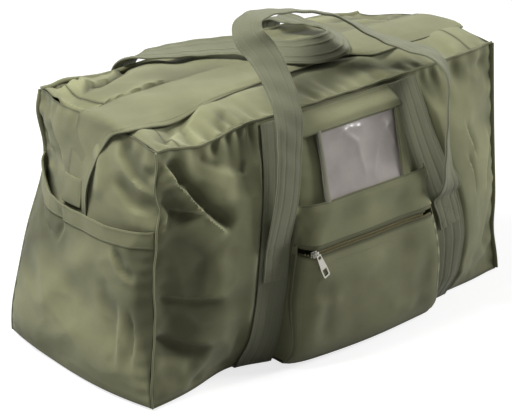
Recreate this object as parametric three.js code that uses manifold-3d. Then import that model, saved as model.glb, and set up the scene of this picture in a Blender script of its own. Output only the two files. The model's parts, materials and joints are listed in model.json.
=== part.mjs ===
// A canvas holdall with a full-length zipped top under a storm flap, two long
// carrying handles, a bellows pocket with a clear label window, and a slip
// pocket on each end.
//
// Millimetres. +X runs along the bag, -Y is the front with the pocket, +Z is up.
// The bag stands on its two base straps at z = 0.

import * as THREE from 'three';
import { mergeVertices } from 'three/addons/utils/BufferGeometryUtils.js';
import Module from 'manifold-3d';

const wasm = await Module();
wasm.setup();

// ---- Driving dimensions ----

const BASE_LENGTH = 720;
const TOP_LENGTH = 700;
const BASE_DEPTH = 350;
const TOP_DEPTH = 304;
const SEAM_HEIGHT = 398;
const FACE_SWELL = 22;
const END_SWELL = 14;
const TOP_CROWN = 14;
const FACE_SQUARENESS = 4;
const SWELL_SQUARENESS = 2.5;
const CROWN_SQUARENESS = 2;

const CANVAS = 1.5;
const WEBBING = 2.2;
const GAP = 0.4;

const STRAP_WIDTH = 60;
const STRAP_CENTRE_X = 8;
const STRAP_SPREAD_BASE = 370;
const STRAP_SPREAD_TOP = 262;
const STRAP_TOP_MARGIN = 5;

const HANDLE_WIDTH = 48;
const HANDLE_THICKNESS = 3;
const HANDLE_SEWN_FROM = 150;
const HANDLE_SEWN_TO = 205;
const HANDLE_FOOT_GAP = 0.6;
const HANDLE_FOOT_LIFT = 0.3;

const WELT_RADIUS = 2.4;
const WELT_CLEAR = 0.6;

const ZIP_Y = -45;
const ZIP_OPENING_HALF = 6;
const ZIP_MARGIN = 47;
const ZIP_PARK_INSET = 23;
const ZIP_SLOT_HALF = 6.5;
const ZIP_SLOT_CLEAR = 4;
const CHAIN_PAST_SLIDER = 2;
const CHAIN_HEIGHT = 2.6;
const CHAIN_THICKNESS = 2.4;
const CHAIN_HALF_GAP = 0.7;
const TAPE_WIDTH = 12;
const TAPE_SEAT = 0.7;
const TAPE_THICKNESS = 0.8;

const SLIDER_LENGTH = 12;
const SLIDER_HALF_WIDTH = 4.5;
const SLIDER_PLATE = 1.4;
const SLIDER_RUNNING_GAP = 0.3;
const SLIDER_POST = 0.8;
const SLIDER_WELD = 0.3;
const BRIDGE_WIDTH = 2;
const BRIDGE_THICKNESS = 0.9;
const BRIDGE_HALF_SPAN = 3.9;
const BRIDGE_CLEAR = 2.7;
const PULL_THICKNESS = 1.4;
const PULL_STAND_OFF = 1.55;
const PULL_EYE_WIDTH = 6.6;
const PULL_EYE_LENGTH = 4.6;
const PULL_BAR = 1.4;
const PULL_RIM = 1.5;
const PULL_RING_RADIUS = 4.6;
const PULL_RING_HOLE = 2.4;
const MAIN_PULL_LENGTH = 22;
const POCKET_PULL_LENGTH = 37;
const POCKET_PULL_TILT = THREE.MathUtils.degToRad(25);

const FLAP_THICKNESS = 2.4;
const FLAP_OVERHANG = 5;
const TAIL_TOP_FRONT_Y = -72;
const TAIL_LOW_FRONT_Y = -16;
const TAIL_BACK_Y = 18;
const TAIL_LOW_BACK_Y = 62;
const TAIL_TUCK = 24;

const END_POCKET_FOOT = 4;
const END_POCKET_MOUTH_MID = 266;
const END_POCKET_MOUTH_RISE = 20;
const END_POCKET_EASE = 16;
const END_POCKET_SEAT = 1.2;
const END_POCKET_FULL_Z = 120;
const END_POCKET_SQUARENESS = 8;
const END_HEM_WIDTH = 25;
const END_TAB_WIDTH = 56;
const END_TAB_HEIGHT = 38;
const END_TAB_CENTRE_Y = 28;
const END_TAB_THICKNESS = 4;
const END_TAB_CLEAR = 1;

const POCKET_FOOT = 8;
const POCKET_TOP_MARGIN = 4;
const POCKET_ZIP_Z = 190;
const POCKET_SIDE_CLEAR = 1;
const POCKET_CHAIN_INSET = 4;
const POCKET_PARK_INSET = 13;
const POCKET_CHAIN_NOTCH = 21;

const WINDOW_WIDTH = 155;
const WINDOW_HEIGHT = 112;
const WINDOW_CENTRE_X = 14;
const WINDOW_FOOT_Z = 254;
const WINDOW_LAP = 8;
const SLEEVE_DEPTH = 8;
const PVC = 0.8;
const BINDING_WIDTH = 9;
const BINDING_THICKNESS = 1.6;
const BINDING_OVERHANG = 1;
const SIDE_STRIP_WIDTH = 18;
const SIDE_STRIP_CLEAR = 2;
const BAND_ZIP_CLEAR = 4;
const BAND_HEAD_CLEAR = 1;
const GUSSET_HEAD_CLEAR = 2;
const GUSSET_LEAST = 0.6;

// How far the pocket stands proud of the face, at shares of the seam height.
const POCKET_PROUD = [
  { share: 0.02, proud: 38 },
  { share: 0.26, proud: 48 },
  { share: 0.48, proud: 42 },
  { share: 0.70, proud: 25 },
  { share: 0.86, proud: 13 },
  { share: 1.00, proud: 1 },
];

// The storm flap's section, from its sewn edge to its free edge: how far behind
// the zip it lies, and how far it stands above the top panel.
const FLAP_SECTION = [
  { behind: 65, rise: 0.5 },
  { behind: 51, rise: 6 },
  { behind: 27, rise: 9.5 },
  { behind: 0, rise: 10.5 },
  { behind: -19, rise: 9 },
  { behind: -31, rise: 5 },
  { behind: -37, rise: 1.6 },
];

const COLOUR = { canvas: 0x6c6d4c, canvasLight: 0x7b7c58, webbing: 0x6b6d56, vinyl: 0x9a8a86 };
const METAL = { zinc: 0xb4b2a0, brass: 0x6d6a4a };

// ---- Vectors and closed solids ----

const V = (x, y, z) => new THREE.Vector3(x, y, z);
const FRONT = V(0, -1, 0);
const BACK = V(0, 1, 0);
const UP = V(0, 0, 1);
const LEFT = V(-1, 0, 0);
const RIGHT = V(1, 0, 0);
const mix = THREE.MathUtils.lerp;

function closed(source) {
  const geometry = source.index ? source : mergeVertices(source);
  geometry.deleteAttribute('normal');
  geometry.deleteAttribute('uv');
  const merged = mergeVertices(geometry, 1e-4);
  if (signedVolume(merged) < 0) turnFaces(merged);
  merged.computeVertexNormals();
  return merged;
}

function signedVolume(geometry) {
  const at = geometry.attributes.position;
  const index = geometry.index;
  const [a, b, c] = [V(), V(), V()];
  let total = 0;
  for (let i = 0; i < index.count; i += 3) {
    a.fromBufferAttribute(at, index.getX(i));
    b.fromBufferAttribute(at, index.getX(i + 1));
    c.fromBufferAttribute(at, index.getX(i + 2));
    total += a.dot(b.cross(c)) / 6;
  }
  return total;
}

function turnFaces(geometry) {
  const index = geometry.index;
  for (let i = 0; i < index.count; i += 3) {
    const second = index.getX(i + 1);
    index.setX(i + 1, index.getX(i + 2));
    index.setX(i + 2, second);
  }
}

function toManifold(geometry) {
  const bare = closed(geometry);
  return new wasm.Manifold(new wasm.Mesh({
    numProp: 3,
    vertProperties: new Float32Array(bare.attributes.position.array),
    triVerts: new Uint32Array(bare.index.array),
  }));
}

function fromManifold(solid) {
  const mesh = solid.getMesh();
  const geometry = new THREE.BufferGeometry();
  geometry.setAttribute('position', new THREE.BufferAttribute(mesh.vertProperties, 3));
  geometry.setIndex(new THREE.BufferAttribute(mesh.triVerts, 1));
  return closed(geometry);
}

const join = (first, ...others) => (
  fromManifold(others.reduce((sum, one) => sum.add(toManifold(one)), toManifold(first)))
);
const cut = (body, tool) => fromManifold(toManifold(body).subtract(toManifold(tool)));

function boxBetween(low, high) {
  const size = V().subVectors(high, low);
  const box = new THREE.BoxGeometry(size.x, size.y, size.z);
  box.translate((low.x + high.x) / 2, (low.y + high.y) / 2, (low.z + high.z) / 2);
  return closed(box);
}

// A sheet of cloth: place(u, v) gives its inner side, and it thickens outwards.
function sheet(place, out, thickness, across = 8, up = 6) {
  const geometry = new THREE.BoxGeometry(1, 1, 1, across, up, 1);
  const at = geometry.attributes.position;
  for (let i = 0; i < at.count; i += 1) {
    const point = place(at.getX(i) + 0.5, at.getY(i) + 0.5);
    point.addScaledVector(out, thickness * (at.getZ(i) + 0.5));
    at.setXYZ(i, point.x, point.y, point.z);
  }
  return closed(geometry);
}

// A flat band that follows a route. Each stop has a place and the direction in
// which the band is wide.
function band(stops, width, thickness, steps) {
  const centre = new THREE.CatmullRomCurve3(stops.map((stop) => stop.at), false, 'centripetal');
  const wide = new THREE.CatmullRomCurve3(stops.map((stop) => stop.wide), false, 'centripetal');
  const geometry = new THREE.BoxGeometry(1, 1, 1, steps, 1, 1);
  const at = geometry.attributes.position;
  for (let i = 0; i < at.count; i += 1) {
    const t = at.getX(i) + 0.5;
    const along = centre.getTangent(t);
    const across = wide.getPoint(t);
    across.addScaledVector(along, -across.dot(along)).normalize();
    const normal = V().crossVectors(along, across);
    const point = centre.getPoint(t);
    point.addScaledVector(across, width * at.getY(i));
    point.addScaledVector(normal, thickness * at.getZ(i));
    at.setXYZ(i, point.x, point.y, point.z);
  }
  return closed(geometry);
}

function rod(from, to, radius, sides = 8) {
  const axis = V().subVectors(to, from);
  const geometry = new THREE.CylinderGeometry(radius, radius, axis.length(), sides);
  geometry.applyQuaternion(new THREE.Quaternion().setFromUnitVectors(BACK, axis.clone().normalize()));
  geometry.translate(...V().addVectors(from, to).multiplyScalar(0.5).toArray());
  return closed(geometry);
}

// The height of a curve over one place along it.
function valueAt(curve, along) {
  let [low, high] = [0, 1];
  for (let step = 0; step < 24; step += 1) {
    const middle = (low + high) / 2;
    if (curve.getPoint(middle).x < along) low = middle;
    else high = middle;
  }
  return curve.getPoint(low).y;
}

// ---- The bag's skin ----

const plateau = (share, power) => 1 - Math.abs(share) ** power;
const risen = (z) => z / SEAM_HEIGHT;
const halfLength = (z) => mix(BASE_LENGTH, TOP_LENGTH, risen(z)) / 2;
const halfDepth = (z) => mix(BASE_DEPTH, TOP_DEPTH, risen(z)) / 2;
const swellAt = (share) => plateau(2 * Math.min(share, 1) - 1, SWELL_SQUARENESS);
const crownZ = (y) => SEAM_HEIGHT + TOP_CROWN * plateau(y / (TOP_DEPTH / 2), CROWN_SQUARENESS);

const faceOut = (x, z) => (
  halfDepth(z) + FACE_SWELL * plateau(x / halfLength(z), FACE_SQUARENESS) * swellAt(risen(z))
);
const endOut = (y, z) => (
  halfLength(z) + END_SWELL * plateau(y / halfDepth(z), FACE_SQUARENESS) * swellAt(z / crownZ(y))
);

const BASE_UNDER = WEBBING + GAP;
const PANEL_FOOT = BASE_UNDER + CANVAS + GAP;
const PANEL_TOP = SEAM_HEIGHT - GAP;

const sign = (side) => (side === 'left' || side === 'front' ? -1 : 1);

function basePanel() {
  const [x, y] = [BASE_LENGTH / 2 - GAP, BASE_DEPTH / 2 - GAP];
  return sheet((u, v) => V(mix(-x, x, u), mix(-y, y, v), BASE_UNDER), UP, CANVAS, 8, 4);
}

function facePanel(side) {
  const out = side === 'front' ? FRONT : BACK;
  return sheet((u, v) => {
    const z = mix(PANEL_FOOT, PANEL_TOP, v);
    const x = mix(-1, 1, u) * halfLength(z);
    return V(x, sign(side) * faceOut(x, z), z);
  }, out, CANVAS, 14, 8);
}

function endPanel(side) {
  return sheet((u, v) => {
    const low = mix(-1, 1, u) * (halfDepth(0) - GAP);
    const high = mix(-1, 1, u) * (halfDepth(SEAM_HEIGHT) - GAP);
    const z = mix(PANEL_FOOT, crownZ(high) - GAP, v);
    const y = mix(low, high, risen(z));
    return V(sign(side) * (endOut(y, z) - CANVAS), y, z);
  }, side === 'left' ? LEFT : RIGHT, CANVAS, 8, 9);
}

function cornerWelt(end, face) {
  const reach = (WELT_RADIUS + GAP) / Math.SQRT2;
  const at = (z) => V(
    sign(end) * (halfLength(z) + reach),
    sign(face) * (halfDepth(z) + CANVAS + reach),
    z,
  );
  return rod(at(PANEL_FOOT), at(PANEL_TOP), WELT_RADIUS);
}

function topWelt(face) {
  const y = sign(face) * (TOP_DEPTH / 2 + WELT_RADIUS / 2);
  const z = SEAM_HEIGHT + WELT_RADIUS + GAP;
  const x = TOP_LENGTH / 2;
  return rod(V(-x, y, z), V(x, y, z), WELT_RADIUS);
}

// ---- The top ----

const TOP_EDGE_Y = TOP_DEPTH / 2 - WELT_RADIUS / 2 - WELT_CLEAR;
const OPENING_HALF_LENGTH = TOP_LENGTH / 2 - ZIP_MARGIN;
const TOP_END_X = halfLength(SEAM_HEIGHT + TOP_CROWN + CANVAS) - CANVAS - 2 * GAP;
const MAIN_PARK_X = TOP_LENGTH / 2 - ZIP_PARK_INSET;

function topSheet(fromX, toX, fromY, toY, across, up) {
  return sheet((u, v) => {
    const y = mix(fromY, toY, v);
    return V(mix(fromX, toX, u), y, crownZ(y) + GAP);
  }, UP, CANVAS, across, up);
}

function topFrontHalf() {
  const x = OPENING_HALF_LENGTH - GAP;
  return topSheet(-x, x, -TOP_EDGE_Y, ZIP_Y - ZIP_OPENING_HALF, 8, 4);
}

function topBackHalf() {
  const x = OPENING_HALF_LENGTH - GAP;
  return topSheet(-x, x, ZIP_Y + ZIP_OPENING_HALF, TOP_EDGE_Y, 8, 6);
}

function topMargin(side) {
  const near = OPENING_HALF_LENGTH + GAP;
  const panel = topSheet(sign(side) * near, sign(side) * TOP_END_X, -TOP_EDGE_Y, TOP_EDGE_Y, 2, 10);
  const slotEnd = MAIN_PARK_X + SLIDER_LENGTH / 2 + ZIP_SLOT_CLEAR;
  const xs = [sign(side) * (near - ZIP_SLOT_CLEAR), sign(side) * slotEnd].sort((a, b) => a - b);
  const slot = boxBetween(
    V(xs[0], ZIP_Y - ZIP_SLOT_HALF, SEAM_HEIGHT - TOP_CROWN),
    V(xs[1], ZIP_Y + ZIP_SLOT_HALF, SEAM_HEIGHT + 2 * TOP_CROWN),
  );
  return cut(panel, slot);
}

// ---- Zips ----
// A zip is built in its own frame: x along the travel, y out of the face, and
// z across it. Its teeth meet on z = 0.

function zipChain(fromX, toX, row) {
  const near = row * CHAIN_HALF_GAP;
  const far = row * (CHAIN_HALF_GAP + CHAIN_HEIGHT);
  return boxBetween(
    V(fromX, -CHAIN_THICKNESS / 2, Math.min(near, far)),
    V(toX, CHAIN_THICKNESS / 2, Math.max(near, far)),
  );
}

const TAPE_NEAR = CHAIN_HALF_GAP + CHAIN_HEIGHT + GAP;
const TAPE_FAR = TAPE_NEAR + TAPE_WIDTH;

const PLATE_NEAR = CHAIN_THICKNESS / 2 + SLIDER_RUNNING_GAP;
const PLATE_FAR = PLATE_NEAR + SLIDER_PLATE;

function sliderBody() {
  const half = SLIDER_LENGTH / 2;
  const wide = SLIDER_HALF_WIDTH;
  const plate = (from, to) => boxBetween(V(-half, from, -wide), V(half, to, wide));
  const post = boxBetween(
    V(-half, -PLATE_NEAR - SLIDER_WELD, -SLIDER_POST / 2),
    V(half, PLATE_NEAR + SLIDER_WELD, SLIDER_POST / 2),
  );
  const crown = PLATE_FAR + BRIDGE_CLEAR;
  const inner = BRIDGE_HALF_SPAN - BRIDGE_THICKNESS;
  const foot = (fromZ, toZ) => boxBetween(
    V(-BRIDGE_WIDTH / 2, PLATE_FAR - SLIDER_WELD, fromZ),
    V(BRIDGE_WIDTH / 2, crown + SLIDER_WELD, toZ),
  );
  const strap = boxBetween(
    V(-BRIDGE_WIDTH / 2, crown, -BRIDGE_HALF_SPAN),
    V(BRIDGE_WIDTH / 2, crown + BRIDGE_THICKNESS, BRIDGE_HALF_SPAN),
  );
  return join(
    plate(PLATE_NEAR, PLATE_FAR),
    plate(-PLATE_FAR, -PLATE_NEAR),
    post,
    foot(inner, BRIDGE_HALF_SPAN),
    foot(-BRIDGE_HALF_SPAN, -inner),
    strap,
  );
}

// The pull hangs along -z from its crossbar, which lies in the slider's bridge.
function pullTab(length) {
  const half = PULL_EYE_WIDTH / 2 + PULL_RIM;
  const ringZ = -length + PULL_RING_RADIUS;
  const shape = new THREE.Shape();
  shape.moveTo(-half, PULL_BAR / 2);
  shape.lineTo(half, PULL_BAR / 2);
  shape.lineTo(half, -PULL_EYE_LENGTH - PULL_RIM);
  shape.absarc(0, ringZ, PULL_RING_RADIUS, Math.PI / 3, -Math.PI * 4 / 3, true);
  shape.lineTo(-half, -PULL_EYE_LENGTH - PULL_RIM);
  const eye = new THREE.Path();
  eye.moveTo(-PULL_EYE_WIDTH / 2, -PULL_BAR / 2);
  eye.lineTo(-PULL_EYE_WIDTH / 2, -PULL_BAR / 2 - PULL_EYE_LENGTH);
  eye.lineTo(PULL_EYE_WIDTH / 2, -PULL_BAR / 2 - PULL_EYE_LENGTH);
  eye.lineTo(PULL_EYE_WIDTH / 2, -PULL_BAR / 2);
  const ring = new THREE.Path();
  ring.absarc(0, ringZ, PULL_RING_HOLE, 0, 2 * Math.PI);
  shape.holes.push(eye, ring);
  const plate = new THREE.ExtrudeGeometry(shape, {
    depth: PULL_THICKNESS,
    bevelEnabled: false,
    curveSegments: 8,
  });
  plate.translate(0, 0, -PULL_THICKNESS / 2);
  plate.rotateX(Math.PI / 2);
  return closed(plate);
}

// The zip frame turned so that its outward side is up, or to the front.
const FACING_UP = new THREE.Matrix4().makeBasis(LEFT, UP, BACK);
const FACING_FRONT = new THREE.Matrix4().makeBasis(LEFT, FRONT, UP);
const turned = (geometry, basis) => closed(geometry.clone().applyMatrix4(basis));

const MAIN_ZIP_AT = V(0, ZIP_Y, crownZ(ZIP_Y) - TAPE_THICKNESS / 2);

function mainTape(halfLengthX, row) {
  return sheet((u, v) => {
    const y = ZIP_Y + row * mix(TAPE_NEAR, TAPE_FAR, v);
    return V(mix(-halfLengthX, halfLengthX, u), y, crownZ(y) - TAPE_THICKNESS);
  }, UP, TAPE_THICKNESS, 4, 2);
}

// ---- The storm flap and its tails ----

const FLAP_HALF_LENGTH = TOP_LENGTH / 2 + FLAP_OVERHANG;
const flapRise = new THREE.SplineCurve(
  FLAP_SECTION.map((at) => new THREE.Vector2(-at.behind - ZIP_Y, at.rise)),
);
const flapUnder = (y) => crownZ(y) + GAP + CANVAS + valueAt(flapRise, -y);

function stormFlap() {
  return sheet((u, v) => {
    const at = flapRise.getPoint(v);
    return V(mix(-1, 1, u) * FLAP_HALF_LENGTH, -at.x, crownZ(at.x) + GAP + CANVAS + at.y);
  }, UP, FLAP_THICKNESS, 6, 14);
}

// The mouth's height across the end, from -1 at the front to 1 at the back.
const mouthZ = (share) => END_POCKET_MOUTH_MID + END_POCKET_MOUTH_RISE * share ** 2;

function flapTail(side) {
  const foot = END_POCKET_MOUTH_MID - TAIL_TUCK;
  return sheet((u, v) => {
    const front = mix(TAIL_LOW_FRONT_Y, TAIL_TOP_FRONT_Y, v * v);
    const back = mix(TAIL_LOW_BACK_Y, TAIL_BACK_Y, v * v);
    const y = mix(front, back, u);
    const z = mix(foot, flapUnder(y) - GAP, v);
    return V(sign(side) * (endOut(y, z) + GAP), y, z);
  }, side === 'left' ? LEFT : RIGHT, FLAP_THICKNESS, 6, 6);
}

// ---- The end pockets ----

const pocketEase = (y, z) => END_POCKET_EASE
  * plateau(y / halfDepth(z), END_POCKET_SQUARENESS)
  * Math.sin((Math.PI / 2) * Math.min(1, z / END_POCKET_FULL_Z));
const pocketOut = (y, z) => endOut(y, z) + END_POCKET_SEAT + pocketEase(y, z);

function endPocket(side) {
  return sheet((u, v) => {
    const share = mix(-1, 1, u);
    const z = mix(END_POCKET_FOOT, mouthZ(share), v);
    const y = share * (halfDepth(z) - GAP);
    return V(sign(side) * pocketOut(y, z), y, z);
  }, side === 'left' ? LEFT : RIGHT, CANVAS, 12, 7);
}

function endHem(side) {
  return sheet((u, v) => {
    const share = mix(-1, 1, u);
    const z = mouthZ(share) + mix(-END_HEM_WIDTH, 0, v);
    const y = share * (halfDepth(z) - GAP);
    return V(sign(side) * (pocketOut(y, z) + CANVAS + GAP), y, z);
  }, side === 'left' ? LEFT : RIGHT, CANVAS, 12, 1);
}

function endTab(side) {
  return sheet((u, v) => {
    const y = END_TAB_CENTRE_Y + mix(-0.5, 0.5, u) * END_TAB_WIDTH;
    const z = mouthZ(y / halfDepth(END_POCKET_MOUTH_MID)) + END_TAB_CLEAR + v * END_TAB_HEIGHT;
    return V(sign(side) * (endOut(y, z) + FLAP_THICKNESS + 2 * GAP), y, z);
  }, side === 'left' ? LEFT : RIGHT, END_TAB_THICKNESS, 3, 2);
}

// ---- Straps ----

const strapOffset = (z) => mix(STRAP_SPREAD_BASE, STRAP_SPREAD_TOP, risen(z)) / 2;
const strapX = (side, z) => STRAP_CENTRE_X + sign(side) * strapOffset(z);
const strapOut = (x, z) => faceOut(x, z) + CANVAS + GAP;

function faceStrap(side, face) {
  return sheet((u, v) => {
    const z = mix(0, SEAM_HEIGHT - STRAP_TOP_MARGIN, v);
    const x = strapX(side, z) + (u - 0.5) * STRAP_WIDTH;
    return V(x, sign(face) * strapOut(x, z), z);
  }, face === 'front' ? FRONT : BACK, WEBBING, 2, 16);
}

function baseStrap(side) {
  const x = strapX(side, 0);
  const y = BASE_DEPTH / 2 + CANVAS;
  return boxBetween(
    V(x - STRAP_WIDTH / 2, -y, 0),
    V(x + STRAP_WIDTH / 2, y, WEBBING),
  );
}

// ---- Handles ----

const handleOut = (x, z) => strapOut(x, z) + WEBBING + GAP;

function handlePatch(side, face) {
  return sheet((u, v) => {
    const z = mix(HANDLE_SEWN_FROM, HANDLE_SEWN_TO, v);
    const x = strapX(side, z) + (u - 0.5) * HANDLE_WIDTH;
    return V(x, sign(face) * handleOut(x, z), z);
  }, face === 'front' ? FRONT : BACK, HANDLE_THICKNESS, 1, 3);
}

const LEG_Z = HANDLE_SEWN_TO + HANDLE_FOOT_GAP;
const legOut = (
  handleOut(strapX('left', LEG_Z), LEG_Z) + HANDLE_THICKNESS / 2 + HANDLE_FOOT_LIFT
);

const legHeight = (share) => mix(LEG_Z, SEAM_HEIGHT, share);

// A stop on a handle's leg: how far along from the left leg to the right one, how
// far in front of or behind its sewn end, and how far up towards the top seam.
function legStop(face, { along, bow, up }) {
  const x = mix(strapX('left', LEG_Z), strapX('right', LEG_Z), along);
  return { at: V(x, sign(face) * (legOut + bow), legHeight(up)), wide: along < 0.5 ? RIGHT : LEFT };
}

// A stop over the bag: y is a share of half the top's depth, and rise is its
// height over the top seams.
function overStop({ along, y, rise, wide }) {
  const x = mix(strapX('left', LEG_Z), strapX('right', LEG_Z), along);
  return { at: V(x, y * TOP_DEPTH / 2, SEAM_HEIGHT + rise), wide: V(...wide) };
}

// The front handle stands up over the bag and leans back.
function frontHandle() {
  const stops = [
    ...[
      { along: 0, bow: 0, up: 0 },
      { along: 0, bow: 0.6, up: 0.06 },
      { along: 0.015, bow: 9, up: 0.35 },
      { along: 0.045, bow: 10, up: 0.75 },
    ].map((stop) => legStop('front', stop)),
    ...[
      { along: 0.065, y: -1.24, rise: 14, wide: [1, 0, 0] },
      { along: 0.075, y: -1.05, rise: 50, wide: [0.95, -0.3, 0] },
      { along: 0.057, y: -0.82, rise: 84, wide: [0.7, -0.7, 0] },
      { along: 0.04, y: -0.66, rise: 105, wide: [0.5, -0.85, 0.1] },
      { along: 0.075, y: -0.56, rise: 117, wide: [0.2, -1, 0] },
      { along: 0.17, y: -0.49, rise: 119, wide: [0, -1, 0] },
      { along: 0.336, y: -0.45, rise: 112, wide: [0, -1, 0] },
      { along: 0.53, y: -0.45, rise: 99, wide: [0, -1, 0] },
      { along: 0.69, y: -0.51, rise: 86, wide: [-0.1, -1, 0] },
      { along: 0.8, y: -0.62, rise: 68, wide: [-0.3, -0.95, -0.1] },
      { along: 0.918, y: -0.78, rise: 48, wide: [-0.6, -0.8, 0] },
      { along: 0.985, y: -0.97, rise: 38, wide: [-0.85, -0.5, 0] },
      { along: 1, y: -1.22, rise: 32, wide: [-1, -0.2, 0] },
      { along: 0.99, y: -1.41, rise: 14, wide: [-1, 0, 0] },
    ].map(overStop),
    ...[
      { along: 0.98, bow: 36, up: 0.82 },
      { along: 0.985, bow: 32, up: 0.48 },
      { along: 1, bow: 14, up: 0.18 },
      { along: 1, bow: 1, up: 0.04 },
      { along: 1, bow: 0, up: 0 },
    ].map((stop) => legStop('front', stop)),
  ];
  return band(stops, HANDLE_WIDTH, HANDLE_THICKNESS, 60);
}

// The back handle lies forward over the top.
function backHandle() {
  const stops = [
    ...[
      { along: 0, bow: 0, up: 0 },
      { along: 0, bow: 2, up: 0.4 },
      { along: 0.01, bow: -6, up: 0.8 },
    ].map((stop) => legStop('back', stop)),
    ...[
      { along: 0.02, y: 1.1, rise: 12, wide: [1, 0, 0] },
      { along: 0.04, y: 0.96, rise: 30, wide: [1, 0.1, 0] },
      { along: 0.11, y: 0.8, rise: 38, wide: [0.9, 0.4, 0] },
      { along: 0.22, y: 0.64, rise: 40, wide: [0.8, 0.5, 0] },
      { along: 0.32, y: 0.46, rise: 38, wide: [0.8, 0.5, 0] },
      { along: 0.4, y: 0.2, rise: 35, wide: [0.9, 0.4, 0] },
      { along: 0.45, y: -0.08, rise: 34, wide: [0.9, 0.5, 0] },
      { along: 0.53, y: -0.31, rise: 33, wide: [0.6, 0.8, 0] },
      { along: 0.65, y: -0.44, rise: 33, wide: [0, 1, 0] },
      { along: 0.79, y: -0.37, rise: 33, wide: [-0.7, 0.7, 0] },
      { along: 0.87, y: -0.12, rise: 33, wide: [-1, 0.2, 0] },
      { along: 0.9, y: 0.3, rise: 33, wide: [-1, 0, 0] },
      { along: 0.92, y: 0.66, rise: 31, wide: [-1, 0.1, 0] },
      { along: 0.95, y: 0.92, rise: 26, wide: [-1, 0.1, 0] },
      { along: 0.985, y: 1.1, rise: 10, wide: [-1, 0, 0] },
    ].map(overStop),
    ...[
      { along: 0.99, bow: -6, up: 0.8 },
      { along: 1, bow: 2, up: 0.4 },
      { along: 1, bow: 0, up: 0 },
    ].map((stop) => legStop('back', stop)),
  ];
  return band(stops, HANDLE_WIDTH, HANDLE_THICKNESS, 60);
}

// ---- The bellows pocket ----

const POCKET_HEAD = SEAM_HEIGHT - POCKET_TOP_MARGIN;
const proudCurve = new THREE.SplineCurve(
  POCKET_PROUD.map((at) => new THREE.Vector2(at.share * SEAM_HEIGHT, at.proud)),
);

const pocketFront = (z) => faceOut(0, z) + CANVAS + GAP + valueAt(proudCurve, z);
const pocketSide = (side, z) => (
  strapX(side, z) - sign(side) * (STRAP_WIDTH / 2 + POCKET_SIDE_CLEAR)
);

// A piece that lies on the pocket's front, between two heights.
function pocketSheet(lowZ, highZ, edges, lift, thickness, across, up) {
  return sheet((u, v) => {
    const z = mix(lowZ, highZ, v);
    const [left, right] = edges(z);
    return V(mix(left, right, u), -pocketFront(z) - lift(u, v), z);
  }, FRONT, thickness, across, up);
}

const fullWidth = (z) => [pocketSide('left', z), pocketSide('right', z)];
const onCanvas = () => CANVAS + GAP;

function pocketLowerPanel() {
  const top = POCKET_ZIP_Z - ZIP_OPENING_HALF;
  return pocketSheet(POCKET_FOOT, top, fullWidth, () => 0, CANVAS, 6, 8);
}

function pocketUpperPanel() {
  const foot = POCKET_ZIP_Z + ZIP_OPENING_HALF;
  return pocketSheet(foot, POCKET_HEAD, fullWidth, () => 0, CANVAS, 6, 9);
}

function pocketGusset(side) {
  return sheet((u, v) => {
    const z = mix(POCKET_FOOT + CANVAS + 2 * GAP, POCKET_HEAD - GUSSET_HEAD_CLEAR, v);
    const x = pocketSide(side, z);
    const back = faceOut(x, z) + CANVAS + GAP;
    return V(x, -mix(back, Math.max(back + GUSSET_LEAST, pocketFront(z) - GAP), u), z);
  }, side === 'left' ? RIGHT : LEFT, CANVAS, 1, 10);
}

function pocketFloor() {
  return sheet((u, v) => {
    const x = mix(pocketSide('left', POCKET_FOOT), pocketSide('right', POCKET_FOOT), u);
    const back = faceOut(x, POCKET_FOOT) + CANVAS + GAP;
    return V(x, -mix(back, pocketFront(POCKET_FOOT) - GAP, v), POCKET_FOOT - CANVAS / 2);
  }, UP, CANVAS, 6, 1);
}

const POCKET_ZIP_AT = V(
  0,
  -pocketFront(POCKET_ZIP_Z) + TAPE_SEAT + TAPE_THICKNESS / 2,
  POCKET_ZIP_Z,
);
const POCKET_CHAIN_LEFT = pocketSide('left', POCKET_ZIP_Z) + CANVAS + POCKET_CHAIN_INSET;
const POCKET_CHAIN_RIGHT = pocketSide('right', POCKET_ZIP_Z) - CANVAS - POCKET_CHAIN_INSET;
const POCKET_PARK_X = pocketSide('left', POCKET_ZIP_Z) + POCKET_PARK_INSET;
const POCKET_UPPER_LEFT = pocketSide('left', POCKET_ZIP_Z) + POCKET_CHAIN_NOTCH;
const POCKET_UPPER_RIGHT = pocketSide('right', POCKET_ZIP_Z) - POCKET_CHAIN_NOTCH;

function pocketTape(row, left, right) {
  const [near, far] = [POCKET_ZIP_Z + row * TAPE_NEAR, POCKET_ZIP_Z + row * TAPE_FAR];
  const behind = () => -TAPE_SEAT - TAPE_THICKNESS;
  return pocketSheet(near, far, () => [left, right], behind, TAPE_THICKNESS, 4, 2);
}

// The pull lies against the pocket, which swells below the zip.
function pocketPullLean() {
  const swell = pocketFront(POCKET_ZIP_Z - POCKET_PULL_LENGTH) - pocketFront(POCKET_ZIP_Z);
  return Math.atan2(Math.max(swell, 0), POCKET_PULL_LENGTH);
}

// ---- The label window ----

const WINDOW_LEFT = WINDOW_CENTRE_X - WINDOW_WIDTH / 2;
const WINDOW_RIGHT = WINDOW_CENTRE_X + WINDOW_WIDTH / 2;
const WINDOW_HEAD_Z = WINDOW_FOOT_Z + WINDOW_HEIGHT;
const SLEEVE_LIFT = CANVAS + SLEEVE_DEPTH;
const FRAME_LIFT = SLEEVE_LIFT + PVC + GAP;

function windowSheet() {
  return pocketSheet(
    WINDOW_FOOT_Z,
    WINDOW_HEAD_Z,
    () => [WINDOW_LEFT, WINDOW_RIGHT],
    () => SLEEVE_LIFT,
    PVC,
    6,
    5,
  );
}

// A canvas band that climbs from the pocket onto the window's edge.
function windowBand(lowZ, highZ, climb) {
  return pocketSheet(lowZ, highZ, fullWidth, (u, v) => {
    const share = THREE.MathUtils.smoothstep(climb(v), 0, 0.5);
    return mix(onCanvas(), FRAME_LIFT, share);
  }, CANVAS, 6, 6);
}

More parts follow.
